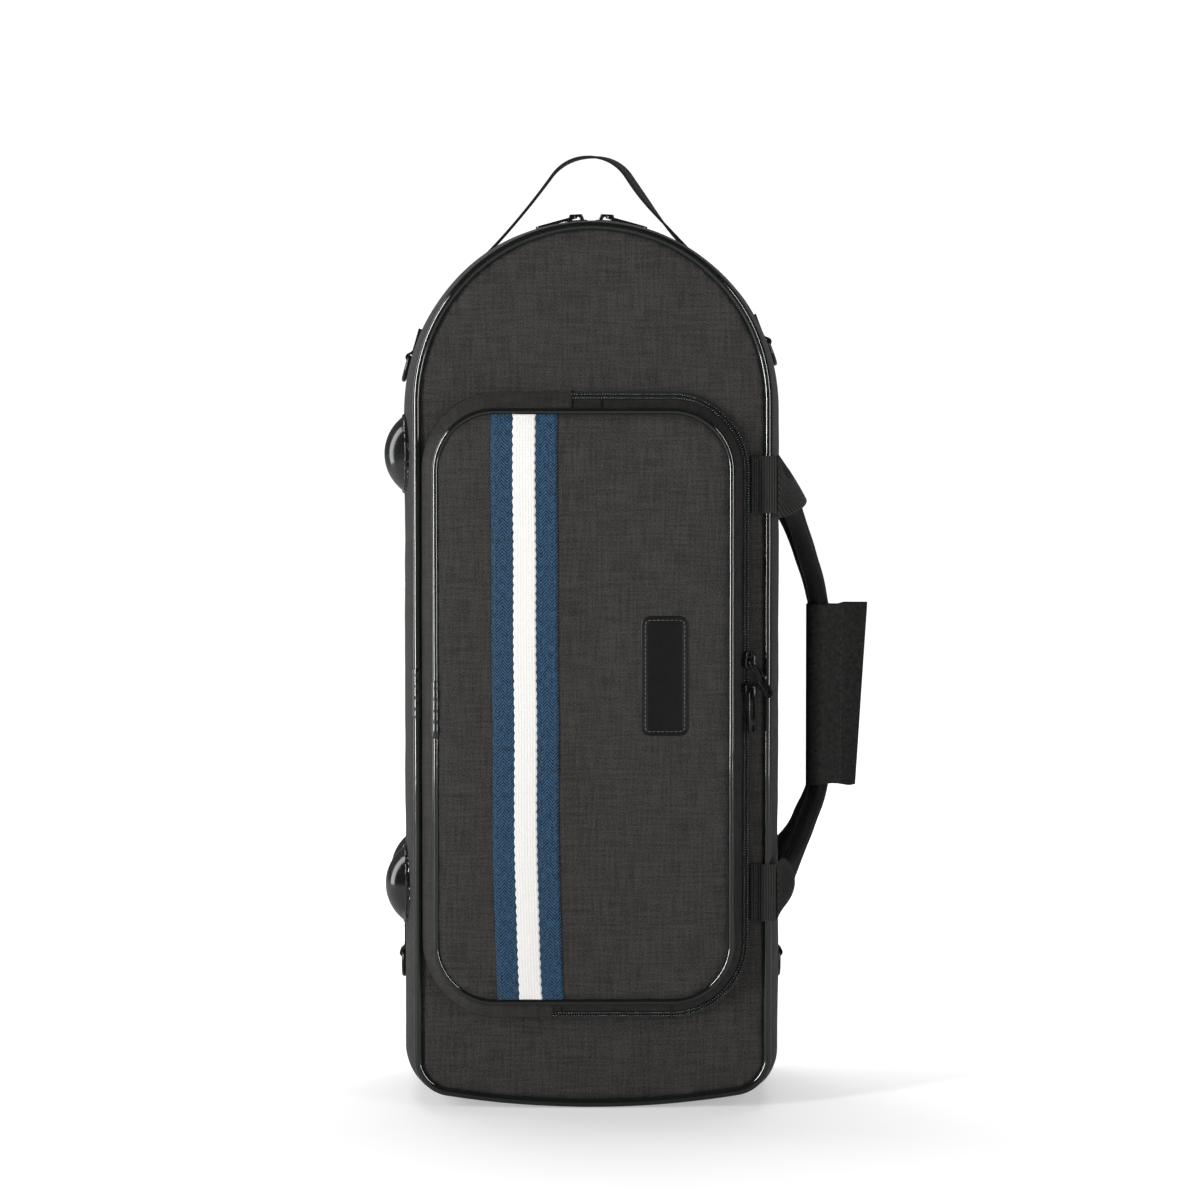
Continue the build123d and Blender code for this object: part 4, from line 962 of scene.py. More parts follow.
def face_cloth(name, side, pucker, pocket):
    """Cloth of the front or back face, padded a little between its seams."""
    seam = np.array(pocket_ring(FOOT_SPREAD - 1, FOOT_SPREAD_LEFT - 1)[0])

    def height(x, z, distance):
        angle = np.arctan2(z - SEAM_Z * 0.62, x)
        rise = 1.5 * (1 - np.exp(-distance / 9.0))
        ripple = pucker / MM * np.exp(-distance / 4.5) * np.sin(angle * 92 + np.sin(angle * 9))
        places = np.stack([x, np.zeros_like(x), z], 1)
        soft = 0.5 * rough(places, 0.013, 5 + side) + 0.16 * rough(places, 0.045, 2)
        full = rise + ripple + soft * (1 - np.exp(-distance / 14.0))
        if pocket:
            flat = np.stack([x, z], 1)
            away = edge_distance(flat, seam)
            away[inside(flat, seam)] = 0
            full = full * (1 - np.exp(-(away**2) / 90.0)) - 0.45 * np.exp(-away / 3.0)
        return full - 0.9

    piece = outline_sheet(name, case_ring(HALF_DEPTH, 3.4), 4.6, height, side * HALF_DEPTH)
    return thicken(piece, FACE_CLOTH)


class CASE_OT_shell_cloth(bpy.types.Operator):
    """Sew the nylon round the two shells"""

    bl_idname = "case.shell_cloth"
    bl_label = "Shell cloth"

    def execute(self, context):
        cloth, _, _, _ = settings()
        total = len(REFERENCE)
        for side, shell, body in SHELLS:
            sides = list(range(BOTTOM_LAST, total + BOTTOM_FIRST + 1))
            bottom = list(range(BOTTOM_FIRST, BOTTOM_LAST + 1))
            walls = wall_cloth(f"{shell}_side_cloth", side, sides, cloth.pucker)
            dress(walls, body, "shell_cloth", MATERIALS["cloth"], f"{shell}_gusset")
            under = wall_cloth(f"{shell}_bottom_cloth", side, bottom, cloth.pucker)
            dress(under, body, "shell_cloth", MATERIALS["cloth"], f"{shell}_bottom_cover")
            face = face_cloth(f"{shell}_face_cloth", side, cloth.pucker, side < 0)
            dress(face, body, "shell_cloth", MATERIALS["cloth"], f"{shell}_panel")
        return {"FINISHED"}


# ---------------------------------------------------------------- piping


def wandering(points, amount, seed):
    """Path with the slight unevenness of hand-sewn piping."""
    moves = np.stack([rough(points, 0.035, seed + k) for k in range(3)], 1)
    return points + moves * amount


def piping_bar(name, points, radius, closed, seed, tips=1.0):
    """Vinyl bar with faint swellings along it; its tips may be drawn in to slip into the next bar."""
    radii = radius * (1 + 0.02 * rough(points, 0.12, seed))
    radii[[0, -1]] *= tips
    start = (0.0, -1.0, 0.0)
    bar = tube_piece(name, wandering(points, 0.12, seed), radii, closed, 32, start)
    activate(bar)
    bpy.ops.object.shade_smooth_by_angle(angle=math.radians(50))
    return bar


EDGE_BAR, POCKET_BAR = 2.6, 2.1  # radii
SLEEVES = ((245.5, 276.5, -109.4, -74.6, 3.05), (234.0, 270.0, -97.4, -90.9, 2.5))  # low end, high end, x, y, radius


class CASE_OT_piping(bpy.types.Operator):
    """Lay the glossy piping along the shells' edges and round the pocket"""

    bl_idname = "case.piping"
    bl_label = "Piping"

    def execute(self, context):
        for side, shell, body in SHELLS:
            points = ring_points(side * HALF_DEPTH, 2.2)
            points[:, 1] = side * (HALF_DEPTH - 0.4)
            bar = piping_bar(f"{shell}_edge_piping", points, EDGE_BAR, True, 4.0 + side)
            dress(bar, body, "piping_vinyl", MATERIALS["vinyl"], f"{shell}_piping")
        ring = pocket_points(0, POCKET_RISE - POCKET_BAR)
        flap = piping_bar("pocket_flap_edge_piping", ring[:FLAP_COUNT], POCKET_BAR, False, 6.0)
        dress(flap, "pocket_flap", "piping_vinyl", MATERIALS["vinyl"], "pocket_flap_piping")
        rest = np.vstack([ring[FLAP_COUNT - 2 :], ring[:2]])
        fixed = piping_bar("pocket_edge_piping", rest, POCKET_BAR, False, 6.0, 0.96)
        dress(fixed, "lid_shell", "piping_vinyl", MATERIALS["vinyl"], "pocket_piping")
        sleeves = []
        for low, high, x, y, radius in SLEEVES:
            heights = np.concatenate([[low, low + 0.5], np.linspace(low + 1.6, high - 1.6, 22), [high - 0.5, high]])
            ends = np.minimum(heights - low, high - heights)
            radii = radius - 0.22 * np.exp(-ends / 0.4) + 0.06 * np.sin(heights * 0.9)
            points = np.stack([np.full(len(heights), x), np.full(len(heights), y), heights], 1)
            sleeves.append(tube_piece(f"sleeve_{low:.0f}", points, radii, False, 18))
        dress(joined("splice_sleeves", sleeves), "lid_shell", "piping_vinyl", MATERIALS["vinyl"], "piping_sleeves")
        return {"FINISHED"}


# ---------------------------------------------------------------- zippers


MAIN_TOOTH, POCKET_TOOTH = (2.25, 1.15, 1.8), (2.15, 1.1, 1.8)  # length, width and height of a turn


def tooth_row(name, path, ups, across, pitch, offset, size, closed, skip=None):
    """Coil turns along a path, set off to one side of it."""
    along = running(path, closed)
    count = int(along[-1] / pitch)
    at = (np.arange(count) + 0.5) * along[-1] / count + offset
    at = at % along[-1] if closed else at[at < along[-1]]
    ends = np.vstack([path, path[:1]]) if closed else path
    tall = np.vstack([ups, ups[:1]]) if closed else ups
    wide = np.vstack([across, across[:1]]) if closed else across
    place, up, way = (np.stack([np.interp(at, along, rows[:, i]) for i in range(3)], 1) for rows in (ends, tall, wide))
    if skip is not None:
        keep = ~skip(place)
        place, up, way = place[keep], up[keep], way[keep]
    return beads(name, TOOTH_SHAPE, place, way, up, size)


def by_hinge(place):
    """Where the cloth hinge takes the zipper's place."""
    return (place[:, 0] < -BOTTOM_COVER) & (place[:, 2] > HINGE_LOW) & (place[:, 2] < HINGE_HIGH)


def main_chain(side, shell, body, pitch):
    """Tape and coil of one half of the main zipper."""
    rows = [(0.75, 1.75), (1.0, 1.45), (3.2, 1.42), (5.2, 1.45), (8.5, 1.5), (12.5, 1.55)]
    grid = np.stack([ring_points(side * y, inset) for y, inset in rows])
    total = grid.shape[1]
    columns = list(range(HINGE_LAST, total + HINGE_FIRST + 1))
    run = np.array(columns) % total
    along = RING_LENGTH[:-1][run] + (np.array(columns) >= total) * RING_LENGTH[-1]
    across = running(np.array([[0, y, inset] for y, inset in rows], float))
    tape = grid_piece(f"{shell}_zip_tape_woven", grid[:, run], along, across, flip=side > 0)
    dress(thicken(tape, MAIN_TAPE), body, "zip_tape", MATERIALS["tape"], f"{shell}_zip_tape")
    path = ring_points(side * 1.75, 0.62)
    inner = ring_points(side * 1.75, 3.0)
    path[:, 2] = np.maximum(path[:, 2], 1.0)
    across_way = np.tile([0.0, 1.0, 0.0], (total, 1))
    name, shift = f"{shell}_zip_teeth", side * pitch / 4
    teeth = tooth_row(name, path, unit(path - inner), across_way, pitch, shift, MAIN_TOOTH, True, by_hinge)
    dress(teeth, body, "zip_coil", MATERIALS["coil"], f"{shell}_zip_coil")


def slope_point(spread, out):
    """Spread and rise of a point on the pocket's sloping wall, out from its face."""
    share = (spread - SLOPE_TOP[0]) / (SLOPE_FOOT[0] - SLOPE_TOP[0])
    rise = SLOPE_TOP[1] + share * (SLOPE_FOOT[1] - SLOPE_TOP[1])
    run, fall = SLOPE_FOOT[0] - SLOPE_TOP[0], SLOPE_TOP[1] - SLOPE_FOOT[1]
    size = math.hypot(run, fall)
    return spread + out * fall / size, rise + out * run / size


def to_ends(points):
    """Pocket zipper's path, carried on past the flap's fold to the zipper's own ends."""
    first, last = points[:1].copy(), points[-1:].copy()
    first[:, 0], last[:, 0] = ZIP_END_LOW, ZIP_END_HIGH
    return np.vstack([first, points, last])


class CASE_OT_zippers(bpy.types.Operator):
    """Weave the zipper tapes and set the coils' teeth"""

    bl_idname = "case.zippers"
    bl_label = "Zippers"

    def execute(self, context):
        _, _, zipper, _ = settings()
        pitch = zipper.pitch / MM
        for side, shell, body in SHELLS:
            main_chain(side, shell, body, pitch)
        self.pocket_tape()
        self.pocket_chain(pitch)
        self.closed_wall()
        return {"FINISHED"}

    @staticmethod
    def pocket_tape():
        """Outer half of the pocket zipper's tape."""
        rows = ((9.25, 0.0), (9.6, 0.12), (10.8, 0.05), (12.6, 0.0), (13.2, -0.1))
        grid = np.stack([to_ends(pocket_points(*slope_point(*row))[:FLAP_COUNT]) for row in rows])
        tape = grid_piece("pocket_zip_tape_woven", grid, running(grid[0]), np.array([0, 0.4, 1.8, 4.0, 4.8]))
        face_out(tape)
        dress(thicken(tape, POCKET_TAPE), "lid_shell", "zip_tape", MATERIALS["tape"], "pocket_zip_tape")

    @staticmethod
    def pocket_chain(pitch):
        """Teeth on the flap and on the tape, and those that stay closed beyond the fold."""
        for name, spread_by, body, node_name, shift in (
            ("pocket_flap_teeth", -1.15, "pocket_flap", "pocket_flap_coil", -0.25),
            ("pocket_tape_teeth", 1.15, "lid_shell", "pocket_coil", 0.25),
        ):
            spread_to = CHAIN_SPREAD + spread_by
            places = ((spread_to, 0.95), (spread_to, 3.0), (spread_to + 1.5, 0.95))
            path, raised, beyond = (to_ends(pocket_points(*slope_point(*place))[:FLAP_COUNT]) for place in places)
            ups, ways = unit(raised - path), unit(beyond - path)
            runs = [slice(0, None)] if body == "lid_shell" else [slice(1, -1), slice(0, 2), slice(-2, None)]
            rows = [
                tooth_row(name, path[run], ups[run], ways[run], pitch, shift * pitch, POCKET_TOOTH, False)
                for run in runs
            ]
            dress(rows[0], body, "zip_coil", MATERIALS["coil"], node_name)
            if rows[1:]:
                dress(joined("pocket_closed_teeth", rows[1:]), "lid_shell", "zip_coil", MATERIALS["coil"])

    @staticmethod
    def closed_wall():
        """Short runs of wall under the closed teeth, between the fold and the zipper's ends."""
        strips = []
        profile = [slope_point(s, out) for s, out in ((1.7, 0.15), (3.2, 0.3), (5.4, 0.35), (7.4, 0.2), (8.2, -0.2))]
        low_end = (ZIP_END_LOW, FOLD_LOW[0], POCKET_LOW, -1)
        high_end = (ZIP_END_HIGH, FOLD_HIGH[0], POCKET_HIGH, 1)
        for end, fold, z, way in (low_end, high_end):
            xs = np.linspace(end, fold, 9)
            grid = np.array([[(x, -HALF_DEPTH - rise, z + way * s) for s, rise in profile] for x in xs])
            strip = grid_piece("strip", grid, np.linspace(0, 9, 5), xs - end)
            face_out(strip)
            strips.append(thicken(strip, CLOSED_WALL))
        # These strips take the darker copy of the nylon, which is painted shade
        dress(joined("pocket_closed_wall", strips), "lid_shell", "pocket_cloth", MATERIALS["shaded_cloth"])


def face_out(piece):
    """Turns an open pocket sheet so that its faces look forward and away from the pocket's middle."""
    centre = Vector((-5.0, -60.0, POCKET_MIDDLE)) * MM
    score = sum(p.area * p.normal.dot(p.center - centre) for p in piece.data.polygons)
    if score < 0:
        piece.data.flip_normals()


# ---------------------------------------------------------------- pocket


def pocket_front_height(fullness, seed):
    """Height function of the padded front, the same on both sides of the fold."""
    whole = pocket_ring(-1.9)[0]

    def height(x, z, _):
        edge = edge_distance(np.stack([x, z], 1), whole)
        places = np.stack([x, np.zeros_like(x), z], 1)
        soft = 0.42 * rough(places, 0.011, seed) + 0.16 * rough(places, 0.035, seed + 3)
        angle = np.arctan2(z - POCKET_MIDDLE, x + 6)
        ripple = 0.28 * np.exp(-edge / 3.5) * np.sin(angle * 61 + 2 * np.sin(angle * 5))
        rise = -1.1 + (1.1 + fullness / MM) * (1 - np.exp(-edge / 7.5))
        return rise + ripple + soft * (1 - np.exp(-edge / 12.0))

    return height


class CASE_OT_pocket(bpy.types.Operator):
    """Pad the pocket's front and sew its sloping walls"""

    bl_idname = "case.pocket"
    bl_label = "Front pocket"

    def execute(self, context):
        cloth, _, _, _ = settings()
        height = pocket_front_height(cloth.fullness, 12.0)
        front = outline_sheet("pocket_front", pocket_ring(-1.9)[0], 3.6, height, -HALF_DEPTH - POCKET_RISE)
        thicken(front, POCKET_PAD)
        front.data.materials.append(MATERIALS["cloth"])
        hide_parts("pocket_panel", "pocket_flap_panel")
        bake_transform(front)
        self.wall("pocket_wall_cloth", False, "lid_shell", "pocket_gusset")
        self.ends()
        self.wall("pocket_flap_wall_cloth", True, "pocket_flap", "pocket_flap_gusset")
        return {"FINISHED"}

    @staticmethod
    def wall(name, flap, body, node_name):
        """Sloping wall from under the piping to the zipper, or to the front panel where it is plain."""
        if flap:
            spreads = [(0.6, None), (1.7, 0), (3.2, 0), (4.9, 0), (6.4, 0), (7.6, 0), (8.1, 0), (8.2, -0.5)]
        else:
            spreads = [(0.6, None), (1.7, 0), (4.0, 0), (6.3, 0), (8.6, 0), (10.6, 0), (11.6, 0), (12.0, -0.05)]
        rows = []
        for spread_by, out in spreads:
            if out is None:
                s, rise = spread_by, WALL_RISE
            else:
                s, rise = slope_point(spread_by, out)
            left = None if flap else s - 3.0 * (1 - (rise / WALL_RISE))
            ring = pocket_points(s, max(rise, 0.25), left)
            rows.append(ring[:FLAP_COUNT] if flap else np.vstack([ring[FLAP_COUNT - 1 :], ring[:1]]))
        grid = np.stack(rows)
        along = running(grid[2])
        across = running(np.array([[s, 0 if o is None else o, 0] for s, o in spreads], float)) * 1.65
        soft = rough(grid.reshape(-1, 3), 0.03, 21.0).reshape(grid.shape[:2])
        wave = np.sin(2 * math.pi * along / 7.9)[None, :] * np.exp(-np.abs(np.arange(len(spreads)) - 1.5))[:, None]
        middle = np.clip(np.sin(np.linspace(0, math.pi, len(spreads))), 0, 1)[:, None]
        lift = (0.35 if flap else 0.7) * soft * middle + (0.16 if flap else 0.3) * wave
        if not flap:
            lift = lift + 0.7 * middle
            ends = np.where(grid[..., 2] > POCKET_MIDDLE, ZIP_END_HIGH, ZIP_END_LOW)
            level = np.clip(np.abs(grid[..., 2] - POCKET_MIDDLE) - 160, 0, 1)
            pressed = np.clip((grid[..., 0] - ends + 6) / 4, 0, 1) * level
            lift = lift * (1 - pressed) - 0.8 * pressed
        forward = np.array([0.0, -1.0, 0.0])
        centre = np.array([-5.0, 0, POCKET_MIDDLE])
        away = unit((grid - centre) * np.array([1, 0, 1]))
        grid = grid + (forward * 0.7 + away * 0.7) * lift[..., None]
        piece = grid_piece(name, grid, along, across)
        face_out(piece)
        # The flap's wall takes the darker copy of the nylon, which is painted shade; the fixed wall keeps the plain
        # nylon
        finish = MATERIALS["shaded_cloth" if flap else "cloth"]
        dress(thicken(piece, POCKET_WALL), body, "pocket_cloth", finish, node_name)

    @staticmethod
    def ends():
        """Folded cloth sewn over each end of the pocket's zipper."""
        covers, seams = [], []
        steps = ((1.7, 1.0), (3.5, 1.15), (6.0, 1.3), (8.6, 1.3), (11.0, 1.2), (12.8, 0.9))
        profile = [slope_point(s, out) for s, out in steps]
        for x, z, way in ((ZIP_END_LOW, POCKET_LOW, -1), (ZIP_END_HIGH, POCKET_HIGH, 1)):
            rows = []
            for along in np.linspace(-7.6, 0.6, 9):
                edge = 0.45 * math.exp(-min(along + 7.6, 0.6 - along) / 0.5)
                rows.append([(x + along, -HALF_DEPTH - rise + edge, z + way * s) for s, rise in profile])
            grid = np.array(rows)
            cover = grid_piece("cover", grid, np.linspace(0, 14, 6), np.linspace(0, 8.2, 9))
            face_out(cover)
            covers.append(thicken(cover, ZIP_END_CLOTH))
            path = [(-6.6, 1), (-6.6, 4), (-0.4, 4), (-0.4, 1), (-6.6, 1)]
            points = [(x + a, -HALF_DEPTH - profile[k][1] - 0.1, z + way * profile[k][0]) for a, k in path]
            fine = np.vstack([np.linspace(p, q, 8)[:-1] for p, q in zip(points, points[1:])] + [points[-1:]])
            seams.append(stitch_row("seam", fine, front_plane(len(fine)), 1.8, 0.7, 0.42))
        dress(joined("pocket_zip_ends", covers), "lid_shell", "pocket_cloth", MATERIALS["cloth"])
        dress(joined("pocket_zip_end_stitches", seams), "lid_shell", "pocket_cloth", MATERIALS["dark_thread"])


def plate_rings(half_wide, half_high, radius, levels):
    """Rings of a rounded rectangle, each at an (inset, height): points as (x, height, z)."""
    rings = []
    for inset, height in levels:
        ring = []
        small = max(radius - inset, 0.3)
        for cx, cz, a0 in ((1, 1, 0), (-1, 1, 90), (-1, -1, 180), (1, -1, 270)):
            for a in np.radians(np.linspace(a0, a0 + 90, 7)):
                x = cx * (half_wide - inset - small) + small * math.cos(a)
                ring.append((x, height, cz * (half_high - inset - small) + small * math.sin(a)))
        rings.append(ring)
    return np.array(rings)


class CASE_OT_stripe(bpy.types.Operator):
    """Sew the blue and white ribbon down the pocket"""

    bl_idname = "case.stripe"
    bl_label = "Striped ribbon"

    def execute(self, context):
        cloth, trim, _, _ = settings()
        height = pocket_front_height(cloth.fullness, 12.0)
        plane = -HALF_DEPTH - POCKET_RISE
        zs = np.linspace(*STRIPE_RUN, 240)
        us = np.linspace(-0.5, 0.5, 15) * STRIPE_WIDTH

        def surface(x, z, lift):
            """Depth of a place that lies so far above the padded front."""
            flat = np.zeros_like(x)
            return plane - height(x.ravel(), z.ravel(), flat.ravel()).reshape(x.shape) - lift

        def sway_at(heights):
            """How far the ribbon strays sideways."""
            drift = 3.2 * np.clip((165 - heights) / 94, 0, 1) ** 1.5
            return 0.5 * np.sin(heights / 92.0) + 0.15 * np.sin(heights / 17.0) + drift

        sway = sway_at(zs)
        x = STRIPE_X + us[:, None] + sway[None, :]
        z = np.broadcast_to(zs, x.shape)
        edge = np.minimum(us - us[0], us[-1] - us)[:, None]
        puff = 0.75 - 0.35 * np.exp(-np.abs(edge - 1.9) / 0.8)
        grid = np.stack([x, surface(x, z, puff), z], -1)
        ribbon = grid_piece("stripe_ribbon", grid.transpose(1, 0, 2), us + STRIPE_WIDTH / 2, zs - zs[0])
        turn_to(ribbon, (0, -1, 0))
        dress(thicken(ribbon, RIBBON), "lid_shell", "stripe", MATERIALS["blue"], "stripe_webbing")
        shares = np.array([-1.0, -0.86, -0.6, -0.3, 0, 0.3, 0.6, 0.86, 1.0])
        fine = np.linspace(*STRIPE_RUN, 540)
        bite = 6.45 + 0.75 * np.abs(np.sin(fine * math.pi / 5.4)) ** 0.7
        sway = sway_at(fine)
        x = STRIPE_X + shares[:, None] * bite[None, :] + sway[None, :]
        z = np.broadcast_to(fine, x.shape)
        crown = 1.12 - 0.25 * shares[:, None] ** 4
        grid = np.stack([x, surface(x, z, crown), z], -1)
        middle = grid_piece("stripe_white_middle", grid.transpose(1, 0, 2), (shares + 1) * 6.8, fine - fine[0])
        turn_to(middle, (0, -1, 0))
        dress(thicken(middle, RIBBON_MIDDLE), "lid_shell", "stripe", MATERIALS["white"])
        rows = []
        for u in (-STRIPE_WIDTH / 2 + 1.9, STRIPE_WIDTH / 2 - 1.9):
            line = np.linspace(72.5, 433.5, 200)
            lx = STRIPE_X + u + sway_at(line)
            points = np.stack([lx, surface(lx, line, 0.42), line], 1)
            rows.append(stitch_row("seam", points, front_plane(len(points)), trim.stitch / MM))
        dress(joined("stripe_stitches", rows), "lid_shell", "stripe", MATERIALS["blue_thread"])
        return {"FINISHED"}


class CASE_OT_patch(bpy.types.Operator):
    """Cut, emboss and stitch the bare leather patch"""

    bl_idname = "case.patch"
    bl_label = "Leather patch"

    def execute(self, context):
        front = -HALF_DEPTH - POCKET_RISE - 1.75
        levels = [(0.3, -1.7), (0.05, -1.5), (0.0, -0.45), (0.12, -0.12), (0.5, 0.1), (1.2, 0.2), (1.9, 0.14)]
        levels += [(2.35, -0.08), (2.75, -0.16), (3.15, -0.08), (3.6, 0.12)]
        levels += [(4.6, 0.2), (6.5, 0.28), (9.5, 0.36), (12.6, 0.4)]
        rings = plate_rings(PATCH_WIDTH / 2, PATCH_HEIGHT / 2, 5.6, levels)
        count = rings.shape[1]
        points = rings.reshape(-1, 3) * [1, -1, 1] + [PATCH_X, front, PATCH_Z]
        faces, _ = grid_faces(len(levels), count, closed=True)
        faces = [list(f) for f in faces] + [list(range(count)), [len(points) - count + i for i in range(count)][::-1]]
        patch = mesh_piece("leather_patch_bare", points, faces)
        outward(patch)
        dress(patch, "pocket_flap", "patch", MATERIALS["patch"], "leather_patch")
        groove, radius = 2.75, 2.9
        half_w, half_h = PATCH_WIDTH / 2 - groove, PATCH_HEIGHT / 2 - groove
        points = []
        for cx, cz, a0 in ((1, 1, 0), (-1, 1, 90), (-1, -1, 180), (1, -1, 270)):
            for a in np.radians(np.linspace(a0, a0 + 90, 7)):
                x = PATCH_X + cx * (half_w - radius) + radius * math.cos(a)
                points.append((x, front - 0.3, PATCH_Z + cz * (half_h - radius) + radius * math.sin(a)))
        points.append(points[0])
        seam = stitch_row("patch_stitches", points, front_plane(len(points)), 1.9, 0.85, 0.42)
        dress(seam, "pocket_flap", "patch", MATERIALS["grey_thread"])
        return {"FINISHED"}


# ---------------------------------------------------------------- sliders and pullers


PULLER_DROP = 2.3


def softened(node_name, name, width, angle=40):
    """Copy of a hard node with its doubles merged, flats cleaned and edges rounded."""
    piece = frame["nodes"][node_name].copy()
    piece.data = piece.data.copy()
    piece.name = name
    piece.data.name = name
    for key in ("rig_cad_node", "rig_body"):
        if key in piece:
            del piece[key]
    piece.parent = None
    bpy.context.scene.collection.objects.link(piece)
    activate(piece)
    bpy.ops.object.mode_set(mode="EDIT")
    bpy.ops.mesh.select_all(action="SELECT")
    bpy.ops.mesh.remove_doubles(threshold=0.00001)
    bpy.ops.mesh.select_all(action="SELECT")
    bpy.ops.mesh.dissolve_limited(angle_limit=math.radians(4))
    bpy.ops.object.mode_set(mode="OBJECT")
    if width:
        limit = math.radians(35)
        apply_modifier(piece, "BEVEL", width=width * MM, segments=3, limit_method="ANGLE", angle_limit=limit)
    activate(piece)
    bpy.ops.object.shade_smooth_by_angle(angle=math.radians(angle))
    return piece


class CASE_OT_sliders(bpy.types.Operator):
    """Finish the zipper sliders and their pullers"""

    bl_idname = "case.sliders"
    bl_label = "Sliders and pullers"

    def execute(self, context):
        for kind, width in (("slider", 0.28), ("puller", 0.42)):
            for place in (f"main_{kind}_left", f"main_{kind}_right", f"pocket_{kind}_high", f"pocket_{kind}_low"):
                piece = softened(place, f"{place}_cast", width)
                main = place.startswith("main")
                if kind == "slider":
                    self.rounded(piece, 0.42 if main else 0.2)
                if main:
                    self.settled(piece, kind == "slider")
                dress(piece, place, "slider_metal", MATERIALS["metal"], place)
        return {"FINISHED"}

    @staticmethod
    def settled(piece, slider):
        """Widens and lowers a slider's bridge, and lays its puller down along the arch."""
        points = piece.data.vertices
        place = np.array([piece.matrix_world @ v.co for v in points]) / MM
        middle = (place[:, 0].min() + place[:, 0].max()) / 2
        if slider:
            above = place[:, 2] - (EDGE_TOP + 1.2)
            place[:, 0] += (place[:, 0] - middle) * 0.22 * np.clip(above / 1.5, 0, 1)
            place[:, 2] -= np.maximum(above, 0) * 0.16
        else:
            away = np.abs(place[:, 0]) - np.abs(place[:, 0]).min()
            place[:, 2] -= PULLER_DROP * (away / away.max()) ** 1.25
        back = piece.matrix_world.inverted()
        for v, point in zip(points, place):
            v.co = back @ Vector(point * MM)

    @staticmethod
    def rounded(piece, fuller):
        """Rounds a casting all over and makes its thin bridge a little fuller."""
        apply_modifier(piece, "REMESH", mode="VOXEL", voxel_size=0.24 * MM)
        apply_modifier(piece, "SMOOTH", factor=0.5, iterations=4)
        apply_modifier(piece, "DISPLACE", strength=fuller * MM, mid_level=0.0)
        piece.data.shade_smooth()


# ---------------------------------------------------------------- webbing and leather


def eased(xs, keys, values):
    """Values at xs, passing smoothly through the keys."""
    keys, values = np.asarray(keys, float), np.asarray(values, float)
    slopes = np.gradient(values, keys)
    xs = np.clip(xs, keys[0], keys[-1])
    i = np.clip(np.searchsorted(keys, xs, side="right") - 1, 0, len(keys) - 2)
    h = keys[i + 1] - keys[i]
    t = (xs - keys[i]) / h
    return (
        (2 * t**3 - 3 * t**2 + 1) * values[i]
        + (t**3 - 2 * t**2 + t) * h * slopes[i]
        + (-2 * t**3 + 3 * t**2) * values[i + 1]
        + (t**3 - t**2) * h * slopes[i + 1]
    )


def band(name, profile, origin, first, out, wide, width, thickness, rows=9, upright=False):
    """Webbing whose middle follows a profile of (first, out) lengths, mapped along and across."""
    profile = np.asarray(profile, float)
    origin, first, out, wide = (np.asarray(v, float) for v in (origin, first, out, wide))
    line = origin + profile[:, :1] * first + profile[:, 1:] * out
    across = np.linspace(-width / 2, width / 2, rows)
    grid = line[None] + across[:, None, None] * wide
    piece = grid_piece(name, grid, running(line), across - across[0])
    if upright:
        remap(piece, np.stack([grid[..., 2], grid[..., 0]], -1).reshape(-1, 2))
    plied(piece, thickness, min(0.35, thickness * 0.3))
    activate(piece)
    bpy.ops.object.shade_smooth_by_angle(angle=math.radians(55))
    return piece


ROOT = np.array([115.1, -78.15, 0.0])
GRIP = np.array([146.0, -9.0, 0.0])
RUN = GRIP - ROOT
WAY = RUN / np.linalg.norm(RUN)
RUN_LENGTH = float(np.linalg.norm(RUN))
GRIP_LOW, GRIP_HIGH, ROOT_HIGH, ROOT_LOW = 197.0, 314.0, 391.0, 136.0
ROOT_WIDTH, TUBE, WRAP_RADIUS = 35.6, 12.4, 7.62
EYE_X, EYE_Z = -20.0, 424.0  # the rear handle grows from here, so that it hangs in line with the front one
TURN_SHARES = [0.0, 0.16, 0.4, 0.7, 0.93, 1.0]
# How the webbing turns into the tube, at each share of its run: drop, lean in degrees, width, thickness
HIGH_TURN = (
    [0.0, 0.05, 0.26, 0.58, 0.87, 1.0],
    [0.0, 22.0, 44.0, 52.0, 74.0, 90.0],
    [35.0, 26.0, 15.6, 12.8, TUBE, TUBE],
    [1.35, 5.4, 10.4, 12.0, TUBE, TUBE],
)
LOW_TURN = (
    [0.0, 0.11, 0.34, 0.64, 0.89, 1.0],
    [0.0, 24.0, 44.0, 54.0, 76.0, 90.0],
    [33.0, 21.0, 13.6, 12.6, TUBE, TUBE],
    [1.35, 6.4, 11.2, 12.2, TUBE, TUBE],
)


def handle_stations():
    """Centre, lean, width and thickness along the whole handle, from the high root to the low one."""
    shares = np.linspace(0, 1, 34)
    stations = []
    for root, grip, turn, table in ((ROOT_HIGH, GRIP_HIGH, -1, HIGH_TURN), (ROOT_LOW, GRIP_LOW, 1, LOW_TURN)):
        part = []
        for s in shares:
            drop, lean, wide, thick = (float(eased(np.array([s]), TURN_SHARES, v)[0]) for v in table)
            centre = ROOT + WAY * RUN_LENGTH * s + np.array([0, 0, root + (grip - root) * drop])
            part.append((centre, math.radians(lean) * turn, wide, thick))
        stations.append(part)
    core = [(GRIP + np.array([0, 0, z]), -math.pi / 2, TUBE, TUBE) for z in np.linspace(GRIP_HIGH, GRIP_LOW, 20)[1:-1]]
    return stations[0] + core + stations[1][::-1], len(stations[0]), len(core)


